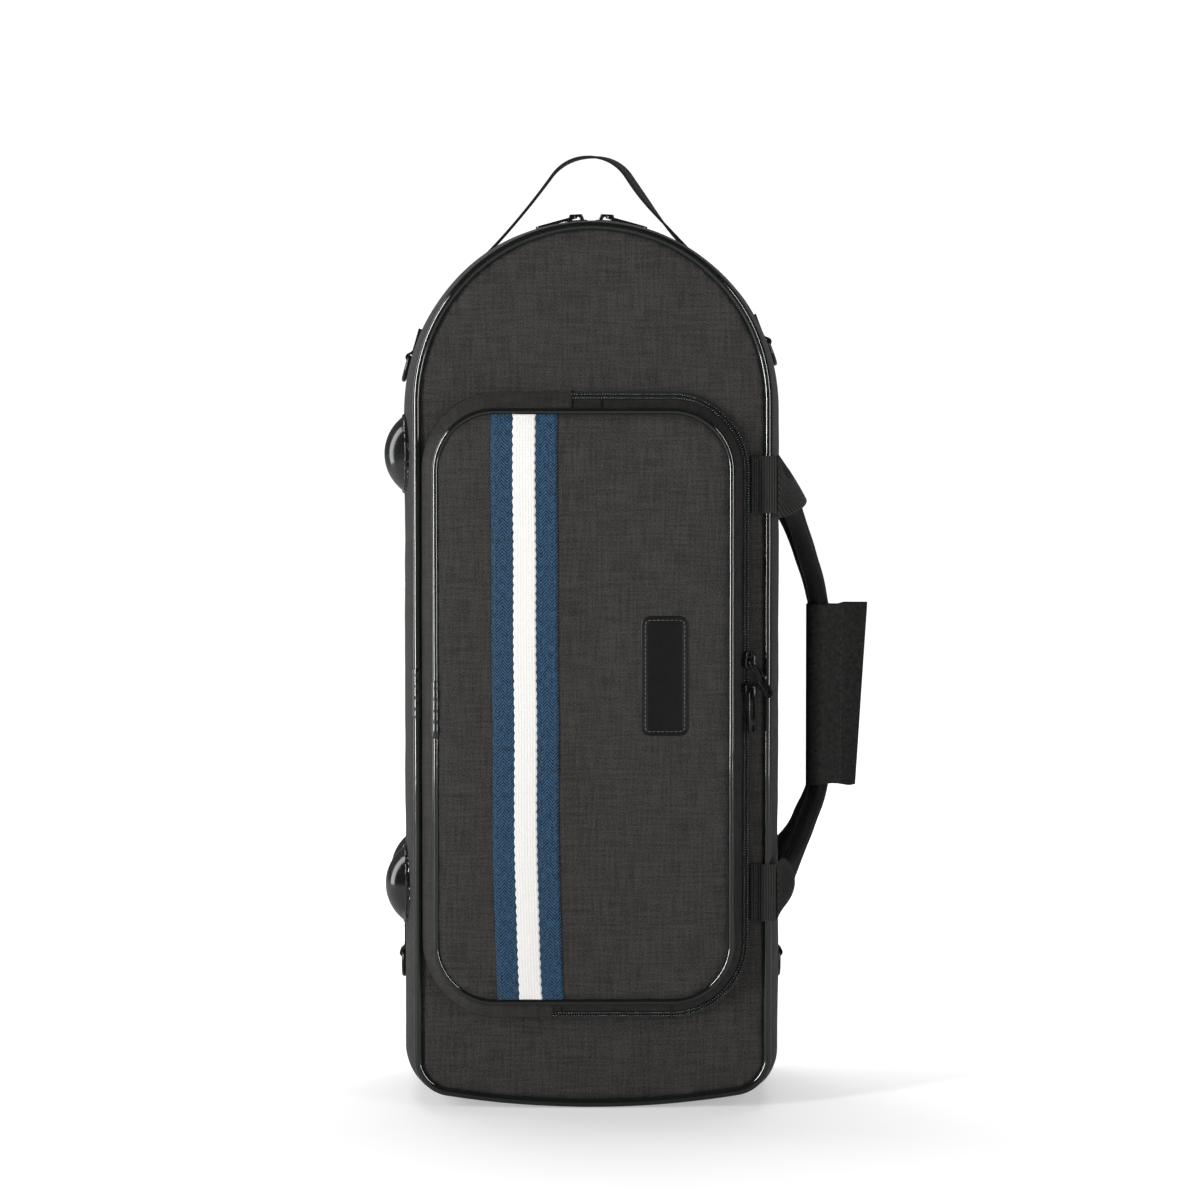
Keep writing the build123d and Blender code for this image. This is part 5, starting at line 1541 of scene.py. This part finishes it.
def handle_piece(name, side):
    """The whole carrying handle; side is -1 for the lid's and +1 for the base's."""
    upper, first, middle = handle_stations()
    normal = np.cross(WAY, [0, 0, 1.0])
    normal /= np.linalg.norm(normal)
    angles = np.linspace(0, 2 * math.pi, 29)[:-1]
    rings, along, last, run = [], [], None, 0.0
    for k, (centre, lean, wide, thick) in enumerate(upper):
        lower_end = k >= first + middle
        sign = 1.0 if lower_end else -1.0
        steep = abs(lean)
        across = np.array([0, 0, math.cos(steep)]) - WAY * sign * math.sin(steep)
        power = 2.0 + 2.6 * np.clip((wide / max(thick, 0.1) - 1) / 3, 0, 1)
        c, s = np.cos(angles), np.sin(angles)
        a = np.sign(c) * np.abs(c) ** (2 / power) * wide / 2
        b = np.sign(s) * np.abs(s) ** (2 / power) * thick / 2
        crease = 1 - 0.1 * np.exp(-((angles - math.pi * 0.5) ** 2) / 0.03) * np.clip((thick - 3) / 6, 0, 1)
        if lower_end:
            a = -a
        rings.append(centre + across * (a * crease)[:, None] + normal * (b * crease)[:, None])
        if last is not None:
            run += float(np.linalg.norm(centre - last))
        last = centre
        along.append(run)
    grid = np.stack(rings).transpose(1, 0, 2)
    wob = rough(grid.reshape(-1, 3), 0.05, 31.0).reshape(grid.shape[:2])
    grid = grid + normal * (0.3 * wob)[..., None]
    if side > 0:
        free = np.clip((grid[..., 0] - 118) / 12, 0, 1) * np.clip(np.abs(grid[..., 1] + 9) / 69, 0, 1)
        wider = 1 - 2 * grid[..., 1] / 2275 * free
        grid[..., 0] = (grid[..., 0] - EYE_X) * wider + EYE_X
        grid[..., 2] = (grid[..., 2] - EYE_Z) * wider + EYE_Z
        grid = grid * np.array([1, -1, 1])
    return round_piece(name, grid, np.array(along), np.linspace(0, 36.0, len(grid) + 1))


def remap(piece, lengths):
    """Gives each corner the map lengths of its vertex, in millimetres."""
    layer = piece.data.uv_layers.active.data
    for loop in piece.data.loops:
        layer[loop.index].uv = lengths[loop.vertex_index] * MM


def fold_piece(name, side, root_z, lower, upper, half_root):
    """Webbing folded round the start of the tube, from its flat root to a slanted mouth."""
    normal = np.cross(WAY, [0, 0, 1.0])
    normal /= np.linalg.norm(normal)
    angles = np.linspace(0, 2 * math.pi, 41)
    rows = []
    for v in np.linspace(0, 1, 15):
        ease = v * v * (3 - 2 * v)
        low = np.array([0.0, root_z - half_root]) * (1 - v) + np.array(lower) * v
        high = np.array([0.0, root_z + half_root]) * (1 - v) + np.array(upper) * v
        high[1] += 2.2 * math.sin(math.pi * v)
        share = (1 - np.cos(angles)) / 2
        flat = low[None] * (1 - share[:, None]) + high[None] * share[:, None]
        deep = 0.9 + 6.5 * ease
        line = ROOT + WAY * (RUN_LENGTH * flat[:, :1]) + np.stack([0 * share, 0 * share, flat[:, 1]], 1)
        bulge = deep * np.sin(angles) * (0.35 + 0.65 * np.abs(np.sin(angles)))
        rows.append(line + normal * bulge[:, None])
    grid = np.stack(rows)
    lean = 0.8 * np.clip((grid[..., 0] - 100) / 35, 0, 1)
    ribs = grid[..., 0] + lean * (grid[..., 2] - root_z)
    if side > 0:
        grid = grid * np.array([1, -1, 1])
    piece = grid_piece(name, grid, np.linspace(0, 72, 41), np.linspace(0, 30, 15))
    remap(piece, np.stack([grid[..., 2], ribs], -1).reshape(-1, 2))
    plied(piece, HANDLE_FOLD)
    return piece


def tab_piece(name, side):
    """The two sewn roots of a handle, lifted over the piping, each with two rows of stitching."""
    pieces, seams = [], []
    profile_x = np.array([98.4, 100.5, 102.6, 103.8, 105.0, 106.2, 107.4, 109.5, 112.0, 114.3])
    profile_rise = np.array([0.85, 0.85, 0.9, 1.35, 2.1, 2.8, 3.12, 3.15, 3.15, 3.15])
    xs = np.linspace(98.4, 114.6, 30)
    rise = eased(xs, profile_x, profile_rise)
    for z in (ROOT_HIGH, ROOT_LOW):
        profile, origin = np.stack([xs, rise], 1), (0, side * HALF_DEPTH, z)
        ways = ((1, 0, 0), (0, side, 0), (0, 0, 1))
        pieces.append(band(f"{name}_{z:.0f}", profile, origin, *ways, ROOT_WIDTH, ROOT_WEBBING, 13, True))
        for x in (99.6, 102.2):
            line = np.linspace(z - 16.4, z + 16.4, 30)
            points = np.stack([np.full(30, x), np.full(30, side * (HALF_DEPTH + 1.5)), line], 1)
            seams.append(stitch_row("seam", points, np.tile([0.0, side, 0.0], (30, 1)), 2.3, 0.9, 0.5))
    return joined(name, pieces), seams


class CASE_OT_handles(bpy.types.Operator):
    """Fold the webbing into the two carrying handles and wrap the front grip"""

    bl_idname = "case.handles"
    bl_label = "Carrying handles"

    def execute(self, context):
        for side, place, shell in ((-1, "front", "lid_shell"), (1, "rear", "base_shell")):
            handle = handle_piece(f"{place}_handle_tube", side)
            dress(handle, f"{place}_handle", "handle_cover", MATERIALS["tubular"], f"{place}_handle")
            folds = [
                fold_piece("fold", side, ROOT_HIGH, (0.05, ROOT_HIGH - 20.5), (0.6, ROOT_HIGH - 8.5), 17.6),
                fold_piece("fold", side, ROOT_LOW, (0.1, ROOT_LOW - 10.0), (0.2, ROOT_LOW + 19.0), 16.6),
            ]
            dress(joined(f"{place}_handle_folds", folds), f"{place}_handle", "webbing", MATERIALS["roots"])
            tabs, seams = tab_piece(f"{place}_handle_roots", side)
            dress(tabs, shell, "webbing", MATERIALS["roots"], f"{place}_handle_tabs")
            dress(joined(f"{place}_handle_root_stitches", seams), shell, "webbing", MATERIALS["dark_thread"])
        self.wrap()
        return {"FINISHED"}

    @staticmethod
    def wrap():
        """Leather pad folded round the front grip, its two layers sewn beside the tube."""
        arc = np.radians(np.linspace(-38, -322, 34))
        round_part = WRAP_RADIUS * np.stack([np.cos(arc), np.sin(arc)], 1)
        lead = [[31.0, -0.92], [27.0, -0.95], [22.0, -1.0], [17.0, -1.25], [14.0, -1.9], [11.5, -2.9], [9.0, -3.9]]
        lead = np.array(lead + [[7.2, -4.45]])
        middle = np.vstack([lead, round_part[2:-2], lead[::-1] * [1, -1]])
        shares = running(middle) / running(middle)[-1]
        smooth = np.stack([np.interp(np.linspace(0, 1, 84), shares, middle[:, i]) for i in range(2)], 1)
        for _ in range(3):
            smooth[1:-1] = (smooth[:-2] + 2 * smooth[1:-1] + smooth[2:]) / 4
        zs = np.linspace(GRIP_LOW + 0.4, GRIP_HIGH - 0.4, 44)
        rows = []
        for z in zs:
            share = (z - GRIP_LOW) / (GRIP_HIGH - GRIP_LOW)
            reach = 1.0 - 0.24 * (1 - share) * np.clip((smooth[:, 0] - 8) / 22, 0, 1)
            x = GRIP[0] + smooth[:, 0] * reach
            wave = 0.35 * math.sin(z / 19.0) * np.clip((smooth[:, 0] - 12) / 12, 0, 1)
            lift = np.clip((smooth[:, 0] - 12) / 4, 0, 1) * (1.2 if share > 0.98 else 0)
            dip = 0.7 * np.sin(smooth[:, 0] / 5.0) * (1 - share) ** 6
            rows.append(np.stack([x, GRIP[1] + smooth[:, 1] + wave, np.full(len(x), z) + lift + dip], 1))
        grid = np.stack(rows)
        piece = grid_piece("handle_wrap_leather", grid, running(smooth), zs - zs[0])
        plied(piece, WRAP_LEATHER, 0.35)
        dress(piece, "front_handle", "wrap_leather", MATERIALS["wrap"], "handle_wrap")
        seams = []
        for way in (-1, 1):
            line = np.linspace(GRIP_LOW + 2, GRIP_HIGH - 2, 60)
            share = (line - GRIP_LOW) / (GRIP_HIGH - GRIP_LOW)
            x = GRIP[0] + 14.4 * (1 - 0.24 * (1 - share) * 0.29)
            points = np.stack([x, np.full(60, GRIP[1] + way * 2.55) + 0.35 * np.sin(line / 19.0) * 0.1, line], 1)
            seams.append(stitch_row("seam", points, np.tile([0.0, way, 0.0], (60, 1)), 2.7, 1.1, 0.5))
        dress(joined("handle_wrap_stitches", seams), "front_handle", "wrap_leather", MATERIALS["dark_thread"])


LOOP_Y, LOOP_WIDTH, LOOP_TOP, LOOP_STUB, LOOP_SAG = 32.0, 25.0, 36.0, 40.0, 3.4
LOOP_LEAVES, LOOP_SEWN = 50.0, 8.0  # degrees from the top where the loop leaves the case, and over which it is sewn


def loop_line():
    """Middle of the top loop's webbing as (x, z), from its right sewn end to its left one."""
    edge_y = LOOP_Y - LOOP_WIDTH / 2
    radius = EDGE_HALF + SIDE_BULGE * swell(edge_y) + 0.4 + 0.65
    centre = EDGE_TOP + TOP_BULGE * swell(edge_y) - (EDGE_HALF + SIDE_BULGE * swell(edge_y))
    slope = math.radians(LOOP_LEAVES)
    lift = np.array([radius * math.sin(slope), centre + radius * math.cos(slope)])
    up = np.array([-math.cos(slope), math.sin(slope)])
    straight = (radius - LOOP_TOP) * math.tan(slope)
    sewn = np.radians(np.linspace(90 - LOOP_LEAVES - LOOP_SEWN, 90 - LOOP_LEAVES, 8))
    points = [np.stack([radius * np.cos(sewn), centre + radius * np.sin(sewn)], 1)]
    points.append(lift + up * np.linspace(0, straight, 40)[1:, None])
    top = np.radians(np.linspace(90 - LOOP_LEAVES, 90, 22))[1:]
    middle = centre + (radius - LOOP_TOP) / math.cos(slope)
    points.append(np.stack([LOOP_TOP * np.cos(top), middle + LOOP_TOP * np.sin(top)], 1))
    half = np.vstack(points)
    line = np.vstack([half, half[-2::-1] * [-1, 1]])
    height = np.clip((line[:, 1] - lift[1]) / (line[:, 1].max() - lift[1]), 0, 1)
    side = np.tanh(line[:, 0] / 12.0)
    line[:, 0] -= (5.8 * side + 1.1 * side**2) * np.maximum(np.sin(math.pi * height**0.9), 0) ** 0.8
    line[:, 1] -= LOOP_SAG * height
    hinge = (lift + up * LOOP_STUB)[1]
    return line, hinge


class CASE_OT_top_loop(bpy.types.Operator):
    """Sew the webbing loop over the top"""

    bl_idname = "case.top_loop"
    bl_label = "Top loop"

    def execute(self, context):
        line, hinge = loop_line()
        along = running(np.column_stack([line, np.zeros(len(line))]))
        share = along / along[-1]
        rows = np.linspace(-LOOP_WIDTH / 2, LOOP_WIDTH / 2, 11)
        tangent = unit(np.gradient(line, axis=0))
        across = np.stack([-tangent[:, 1], tangent[:, 0]], 1)
        twist = -0.035 * np.exp(-(((share - 0.73) / 0.17) ** 2))
        twist = twist - 0.2 * np.exp(-(np.abs((share - 0.385) / 0.105) ** 2.5))
        grid = []
        for r in rows:
            x = line[:, 0] + across[:, 0] * r * twist
            z = line[:, 1] + across[:, 1] * r * twist
            grid.append(np.stack([x, np.full(len(line), LOOP_Y + r), z], 1))
        piece = grid_piece("top_loop_webbing", np.stack(grid), along, rows - rows[0])
        plied(piece, LOOP_WEBBING, 0.3)
        piece.data.materials.append(MATERIALS["webbing"])
        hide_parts("hanging_loop", "hanging_loop_ends")
        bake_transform(piece)
        seams = []
        for end in (0, -1):
            for offset in (-9.5, 0.0, 9.5):
                part = line[:7] if end == 0 else line[-7:]
                points = np.stack([part[:, 0], np.full(7, LOOP_Y + offset), part[:, 1]], 1)
                centre = np.array([0, 0, SEAM_Z])
                normals = unit((points - centre) * [1, 0, 1])
                seams.append(stitch_row("seam", points + normals * 0.62, normals, 2.3, 0.9, 0.5))
        dress(joined("top_loop_stitches", seams), "base_shell", "webbing", MATERIALS["dark_thread"])
        return {"FINISHED"}


class CASE_OT_rings(bpy.types.Operator):
    """Fold the ring tabs and finish the strap rings"""

    bl_idname = "case.rings"
    bl_label = "Strap rings"

    def execute(self, context):
        ring_y = 28.0
        wall = EDGE_HALF + SIDE_BULGE * swell(ring_y)
        arch_z = EDGE_TOP + TOP_BULGE * swell(ring_y) - wall
        places = []
        for way, angle in ((1, 21.0), (-1, 16.0)):
            a = math.radians(angle)
            out = np.array([way * math.cos(a), 0, math.sin(a)])
            centre, down = np.array([0, ring_y, arch_z]), np.array([way * math.sin(a), 0, -math.cos(a)])
            places.append((centre + out * (wall + 0.2), down, out))
            low = np.array([way * (wall + 0.2), ring_y, 84.0])
            places.append((low, np.array([0, 0, -1.0]), np.array([way, 0, 0.0])))
        bar = 3.15
        turn = np.radians(np.linspace(-150, 150, 24))
        eye = np.stack([2.35 * np.cos(turn), bar + 2.35 * np.sin(turn)], 1)
        low = np.stack([np.linspace(-19.6, -5, 10), np.full(10, 0.85)], 1)
        high = np.stack([np.linspace(-5, -19.6, 10), np.full(10, 2.15)], 1)
        profile = np.vstack([low, [[-3.6, 0.95]], eye, [[-3.6, 2.75]], high])
        tabs, seams = [], []
        for k, (origin, down, out) in enumerate(places):
            wide = np.cross(out, down)
            tabs.append(band(f"ring_tab_{k}", profile, origin, down, out, wide, 14.6, 1.05, 7))
            for offset in (-19.6 + 2.0, -6.5):
                line = np.linspace(-6.0, 6.0, 12)
                points = origin + down * offset + out * 2.75 + line[:, None] * wide
                seams.append(stitch_row("seam", points, np.tile(out, (12, 1)), 2.2, 0.8, 0.45))
        dress(joined("strap_ring_tabs_webbing", tabs), "base_shell", "webbing", MATERIALS["webbing"], "strap_ring_tabs")
        dress(joined("strap_ring_tab_stitches", seams), "base_shell", "webbing", MATERIALS["dark_thread"])
        for place in ("high_left", "high_right", "low_left", "low_right"):
            ring = softened(f"strap_ring_{place}", f"strap_ring_{place}_wire", 0, 60)
            dress(ring, f"strap_ring_{place}", "ring_metal", MATERIALS["metal"], f"strap_ring_{place}")
        return {"FINISHED"}


# ---------------------------------------------------------------- feet, hinge and inside


def finish_node(node_name, material):
    """Better finish on a node whose shape stays."""
    piece = frame["nodes"][node_name]
    piece.data.materials.clear()
    piece.data.materials.append(material)


class CASE_OT_feet(bpy.types.Operator):
    """Finish the bumper feet and what holds them"""

    bl_idname = "case.feet"
    bl_label = "Bumper feet"

    def execute(self, context):
        for shell in ("lid", "base"):
            foot = softened(f"{shell}_feet", f"{shell}_feet_moulded", 0.0, 32)
            dress(foot, f"{shell}_shell", "foot_rubber", MATERIALS["rubber"], f"{shell}_feet")
            finish_node(f"{shell}_foot_fixings", MATERIALS["steel"])
            finish_node(f"{shell}_foam", MATERIALS["foam"])
        return {"FINISHED"}


class CASE_OT_hinge(bpy.types.Operator):
    """Sew the cloth hinge down the left side"""

    bl_idname = "case.hinge"
    bl_label = "Cloth hinge"

    def execute(self, context):
        half = [0.6, 1.2, 2.0, 3.0, 4.5, 6.5, 9.5, 12.4]
        depths = np.array([-y for y in half[::-1]] + [0] + half)
        rows = []
        for y in depths:
            ring = ring_points(y, 1.25 - 0.25 * math.exp(-(y**2) / 2.0))[HINGE_FIRST : HINGE_LAST + 1]
            wave = 0.16 * np.sin(ring[:, 2] / 3.1) * math.exp(-((abs(y) - 4.6) ** 2) / 2.0)
            rows.append(ring + np.stack([-wave, 0 * wave, 0 * wave], 1))
        grid = np.stack(rows)
        piece = grid_piece("hinge_cloth", grid, running(grid[0]), depths - depths[0])
        turn_to(piece, (-1, 0, 0), 0.5)
        thicken(piece, HINGE_CLOTH)
        piece.data.materials.append(MATERIALS["cloth"])
        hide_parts("fabric_hinge", "fabric_hinge_lid_edge")
        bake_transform(piece)
        return {"FINISHED"}


def plush_block(node_name, name, voxel, relax):
    """Copy of an insert block whose edges are rounded as cloth over foam is."""
    piece = softened(node_name, name, 0)
    apply_modifier(piece, "REMESH", mode="VOXEL", voxel_size=voxel * MM)
    apply_modifier(piece, "SMOOTH", factor=0.5, iterations=relax)
    co = np.array([v.co for v in piece.data.vertices])
    normals = np.array([v.normal for v in piece.data.vertices])
    soft = rough(co / MM, 0.05, 44.0)
    co = co + normals * (0.25 * soft - 0.1)[:, None] * MM
    piece.data.vertices.foreach_set("co", co.astype(np.float32).ravel())
    piece.data.update()
    piece.data.shade_smooth()
    return piece


class CASE_OT_inside(bpy.types.Operator):
    """Line the shells and cover the fitted insert with plush"""

    bl_idname = "case.inside"
    bl_label = "Inside"

    def execute(self, context):
        for part in ("bell", "valve", "leadpipe"):
            block = plush_block(f"insert_{part}_block", f"insert_{part}_plush", 2.4, 5)
            dress(block, "base_shell", "plush", MATERIALS["plush"], f"insert_{part}_block")
        for side, shell, body in SHELLS:
            rows = [(0.6, 9.5), (0.5, 10.4), (1.2, 10.95)]
            rows += [(y, 11.0) for y in np.linspace(4, 60, 12)] + [(63.0, 11.6), (64.1, 13.5)]
            wall = self.lined(f"{shell}_lining_wall", side, rows)
            turn_wall(wall, 250.0, False)
            thicken(wall, LINING)
            floor = outline_sheet(f"{shell}_lining_floor", case_ring(64.0, 12.6), 9.0, self.slack, side * 64.4)
            floor.data.flip_normals()
            thicken(floor, LINING)
            lining = joined(f"{shell}_lining_plush", [wall, floor])
            dress(lining, body, "plush", MATERIALS["plush"], f"{shell}_lining")
            rows = [(0.46, 1.6), (0.4, 2.4), (0.38, 4.5), (0.38, 7.0), (0.44, 9.6)]
            rim = self.lined(f"{shell}_rim_binding", side, rows)
            turn_to(rim, (0, -side, 0))
            dress(thicken(rim, BINDING), body, "shell_cloth", MATERIALS["cloth"])
        flap = plush_block("accessory_flap", "accessory_flap_plush", 1.1, 2)
        dress(flap, "accessory_flap", "plush", MATERIALS["plush"], "accessory_flap")
        for name, left, right, body in (
            ("holding_strap", -24.0, 28.0, "holding_strap"),
            ("holding_strap_anchor", -34.6, -24.7, "base_shell"),
        ):
            profile = np.stack([np.linspace(left, right, 20), np.zeros(20)], 1)
            ways = ((1, 0, 0), (0, -1, 0), (0, 0, 1))
            strap = band(f"{name}_webbing", profile, (0, 3.0, 452.0), *ways, 24.8, 1.45, 9)
            dress(strap, body, "webbing", MATERIALS["webbing"], name)
        return {"FINISHED"}

    @staticmethod
    def lined(name, side, rows):
        """Sheet all round a shell, through (depth, inset) rows."""
        grid = looped(np.stack([ring_points(side * y, inset) for y, inset in rows]))
        return grid_piece(name, grid, RING_LENGTH, running(np.array([[y, inset, 0] for y, inset in rows], float)))

    @staticmethod
    def slack(x, z, _):
        """Slack of the lining over the flat of a shell."""
        return 0.5 * rough(np.stack([x, 0 * x, z], 1), 0.02, 8) - 0.6


# ---------------------------------------------------------------- stage


# Name, place, width and height, watts, and the point that each light faces
LIGHTS = (
    ("left", (-1.75, -1.4, 0.85), (0.3, 1.7), 42.0, (0, -0.07, 0.85)),
    ("right", (1.5, -1.7, 0.85), (0.24, 1.7), 16.0, (0, -0.07, 0.85)),
    ("rim", (-1.6, 0.6, 0.7), (0.5, 1.6), 6.0, (0, 0, 0.3)),
    ("top", (0.0, 0.9, 2.4), (2.2, 1.4), 40.0, (0, 0.3, 0)),
)
MIRRORED_FLOOR, MIRRORED_ROOM = 0.06, 0.12  # how bright floor and surroundings are in a gloss
PIXELS_PER_MM = 1.6064  # on the front panel
AIM_DOWN, AIM_RIGHT = 168.5, 40.0  # how far the camera looks down and to the right, in pixels
CAMERA_X, SENSOR = -0.0203, 36.0


class CASE_OT_stage(bpy.types.Operator):
    """Lay the pale floor and set the camera and the soft lights"""

    bl_idname = "case.stage"
    bl_label = "Stage"

    def execute(self, context):
        _, _, _, stage = settings()
        scene = context.scene
        deselect()
        bpy.ops.mesh.primitive_plane_add(size=60, location=(0, 0, 0))
        floor = context.object
        floor.name = "studio_floor"
        material, tree, shader = blank("Studio floor")
        place = own_place(tree)
        tone = stretched(tree, place, 1, 1, 1, 2.0, 0.6)
        mirrored = node(tree, "ShaderNodeLightPath").outputs["Is Glossy Ray"]
        pale = mix(tree, tone, shade(stage.floor, 0.99), stage.floor)
        tinted(tree, shader, mirrored, pale, shade(stage.floor, 0.3))
        set_up(shader, roughness=0.7, specular=0.15)
        shader.inputs["Emission Color"].default_value = (1, 1, 1, 1)
        away = node(tree, "ShaderNodeVectorMath", {"operation": "LENGTH"})
        tree.links.new(place, away.inputs[0])
        glow = spread(tree, away.outputs["Value"], 0.35, 1.3, 0.4, stage.glow)
        glow = times(tree, glow, spread(tree, mirrored, 0, 1, 1.0, MIRRORED_FLOOR))
        tree.links.new(glow, shader.inputs["Emission Strength"])
        floor.data.materials.append(material)
        world = bpy.data.worlds.new("Studio")
        scene.world = world
        world.use_nodes = True
        tree = world.node_tree
        around = node(tree, "ShaderNodeTexCoord").outputs["Generated"]
        way = node(tree, "ShaderNodeSeparateXYZ", None, Vector=around).outputs[1]
        seen = times(tree, node(tree, "ShaderNodeLightPath").outputs["Is Camera Ray"], 1.06)
        mirrored = node(tree, "ShaderNodeLightPath").outputs["Is Glossy Ray"]
        lit = times(tree, spread(tree, way, 0.1, 0.6, 0.14, 0.6), spread(tree, mirrored, 0, 1, 1.0, MIRRORED_ROOM))
        strength = maths(tree, "MAXIMUM", seen, lit)
        tree.links.new(strength, tree.nodes["Background"].inputs["Strength"])
        tree.nodes["Background"].inputs["Color"].default_value = (1, 1, 1, 1)
        for name, place, size, power, target in LIGHTS:
            light = bpy.data.lights.new(name, "AREA")
            light.shape, light.size, light.size_y = "RECTANGLE", size[0], size[1]
            light.energy = power
            lamp = bpy.data.objects.new(name, light)
            scene.collection.objects.link(lamp)
            lamp.visible_glossy = name != "top"
            lamp.location = place
            lamp.rotation_euler = (Vector(target) - Vector(place)).to_track_quat("-Z", "Y").to_euler()
        scene.view_settings.view_transform = "Standard"
        scene.view_settings.look = "None"
        camera_data = bpy.data.cameras.new("camera")
        camera = bpy.data.objects.new("camera", camera_data)
        scene.collection.objects.link(camera)
        focal = PIXELS_PER_MM / MM * stage.distance
        camera_data.sensor_width = SENSOR
        camera_data.lens = SENSOR * focal / stage.pixels
        camera.location = (CAMERA_X, -HALF_DEPTH * MM - stage.distance, stage.height)
        tilt, turn = math.atan(AIM_DOWN / focal), math.atan(AIM_RIGHT / focal)
        camera.rotation_euler = (math.radians(90) - tilt, 0, -turn)
        scene.camera = camera
        return {"FINISHED"}


# ---------------------------------------------------------------- panel and run


class CASE_PT_pieces(bpy.types.Panel):
    """Lists the steps that dress the case, and their settings"""

    bl_idname = "CASE_PT_pieces"
    bl_label = "Trumpet case"
    bl_space_type = "VIEW_3D"
    bl_region_type = "UI"
    bl_category = "Trumpet case"

    def draw(self, context):
        """Shows every setting and a button for each step."""
        for group in settings():
            box = self.layout.box()
            for key in group.bl_rna.properties.keys():
                if key not in ("rna_type", "name"):
                    box.prop(group, key)
        for operator in OPERATORS:
            self.layout.operator(operator.bl_idname)


OPERATORS = (
    CASE_OT_shell_cloth,
    CASE_OT_piping,
    CASE_OT_zippers,
    CASE_OT_pocket,
    CASE_OT_stripe,
    CASE_OT_patch,
    CASE_OT_sliders,
    CASE_OT_handles,
    CASE_OT_top_loop,
    CASE_OT_rings,
    CASE_OT_feet,
    CASE_OT_hinge,
    CASE_OT_inside,
    CASE_OT_stage,
)
GROUPS = (("case_cloth", CaseCloth), ("case_trim", CaseTrim), ("case_zipper", CaseZipper), ("case_stage", CaseStage))


def register():
    """Registers the settings, the operators and the panel."""
    for name, group in GROUPS:
        bpy.utils.register_class(group)
        setattr(bpy.types.Scene, name, PointerProperty(type=group))
    for part in (*OPERATORS, CASE_PT_pieces):
        bpy.utils.register_class(part)


def unregister():
    """Takes them all away again."""
    for part in (CASE_PT_pieces, *reversed(OPERATORS)):
        bpy.utils.unregister_class(part)
    for name, group in reversed(GROUPS):
        delattr(bpy.types.Scene, name)
        bpy.utils.unregister_class(group)


def main():
    """Registers the add-on and runs its operators in order."""
    register()
    make_materials()
    for operator in OPERATORS:
        group, name = operator.bl_idname.split(".")
        getattr(getattr(bpy.ops, group), name)()
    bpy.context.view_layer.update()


if __name__ == "__main__":
    main()
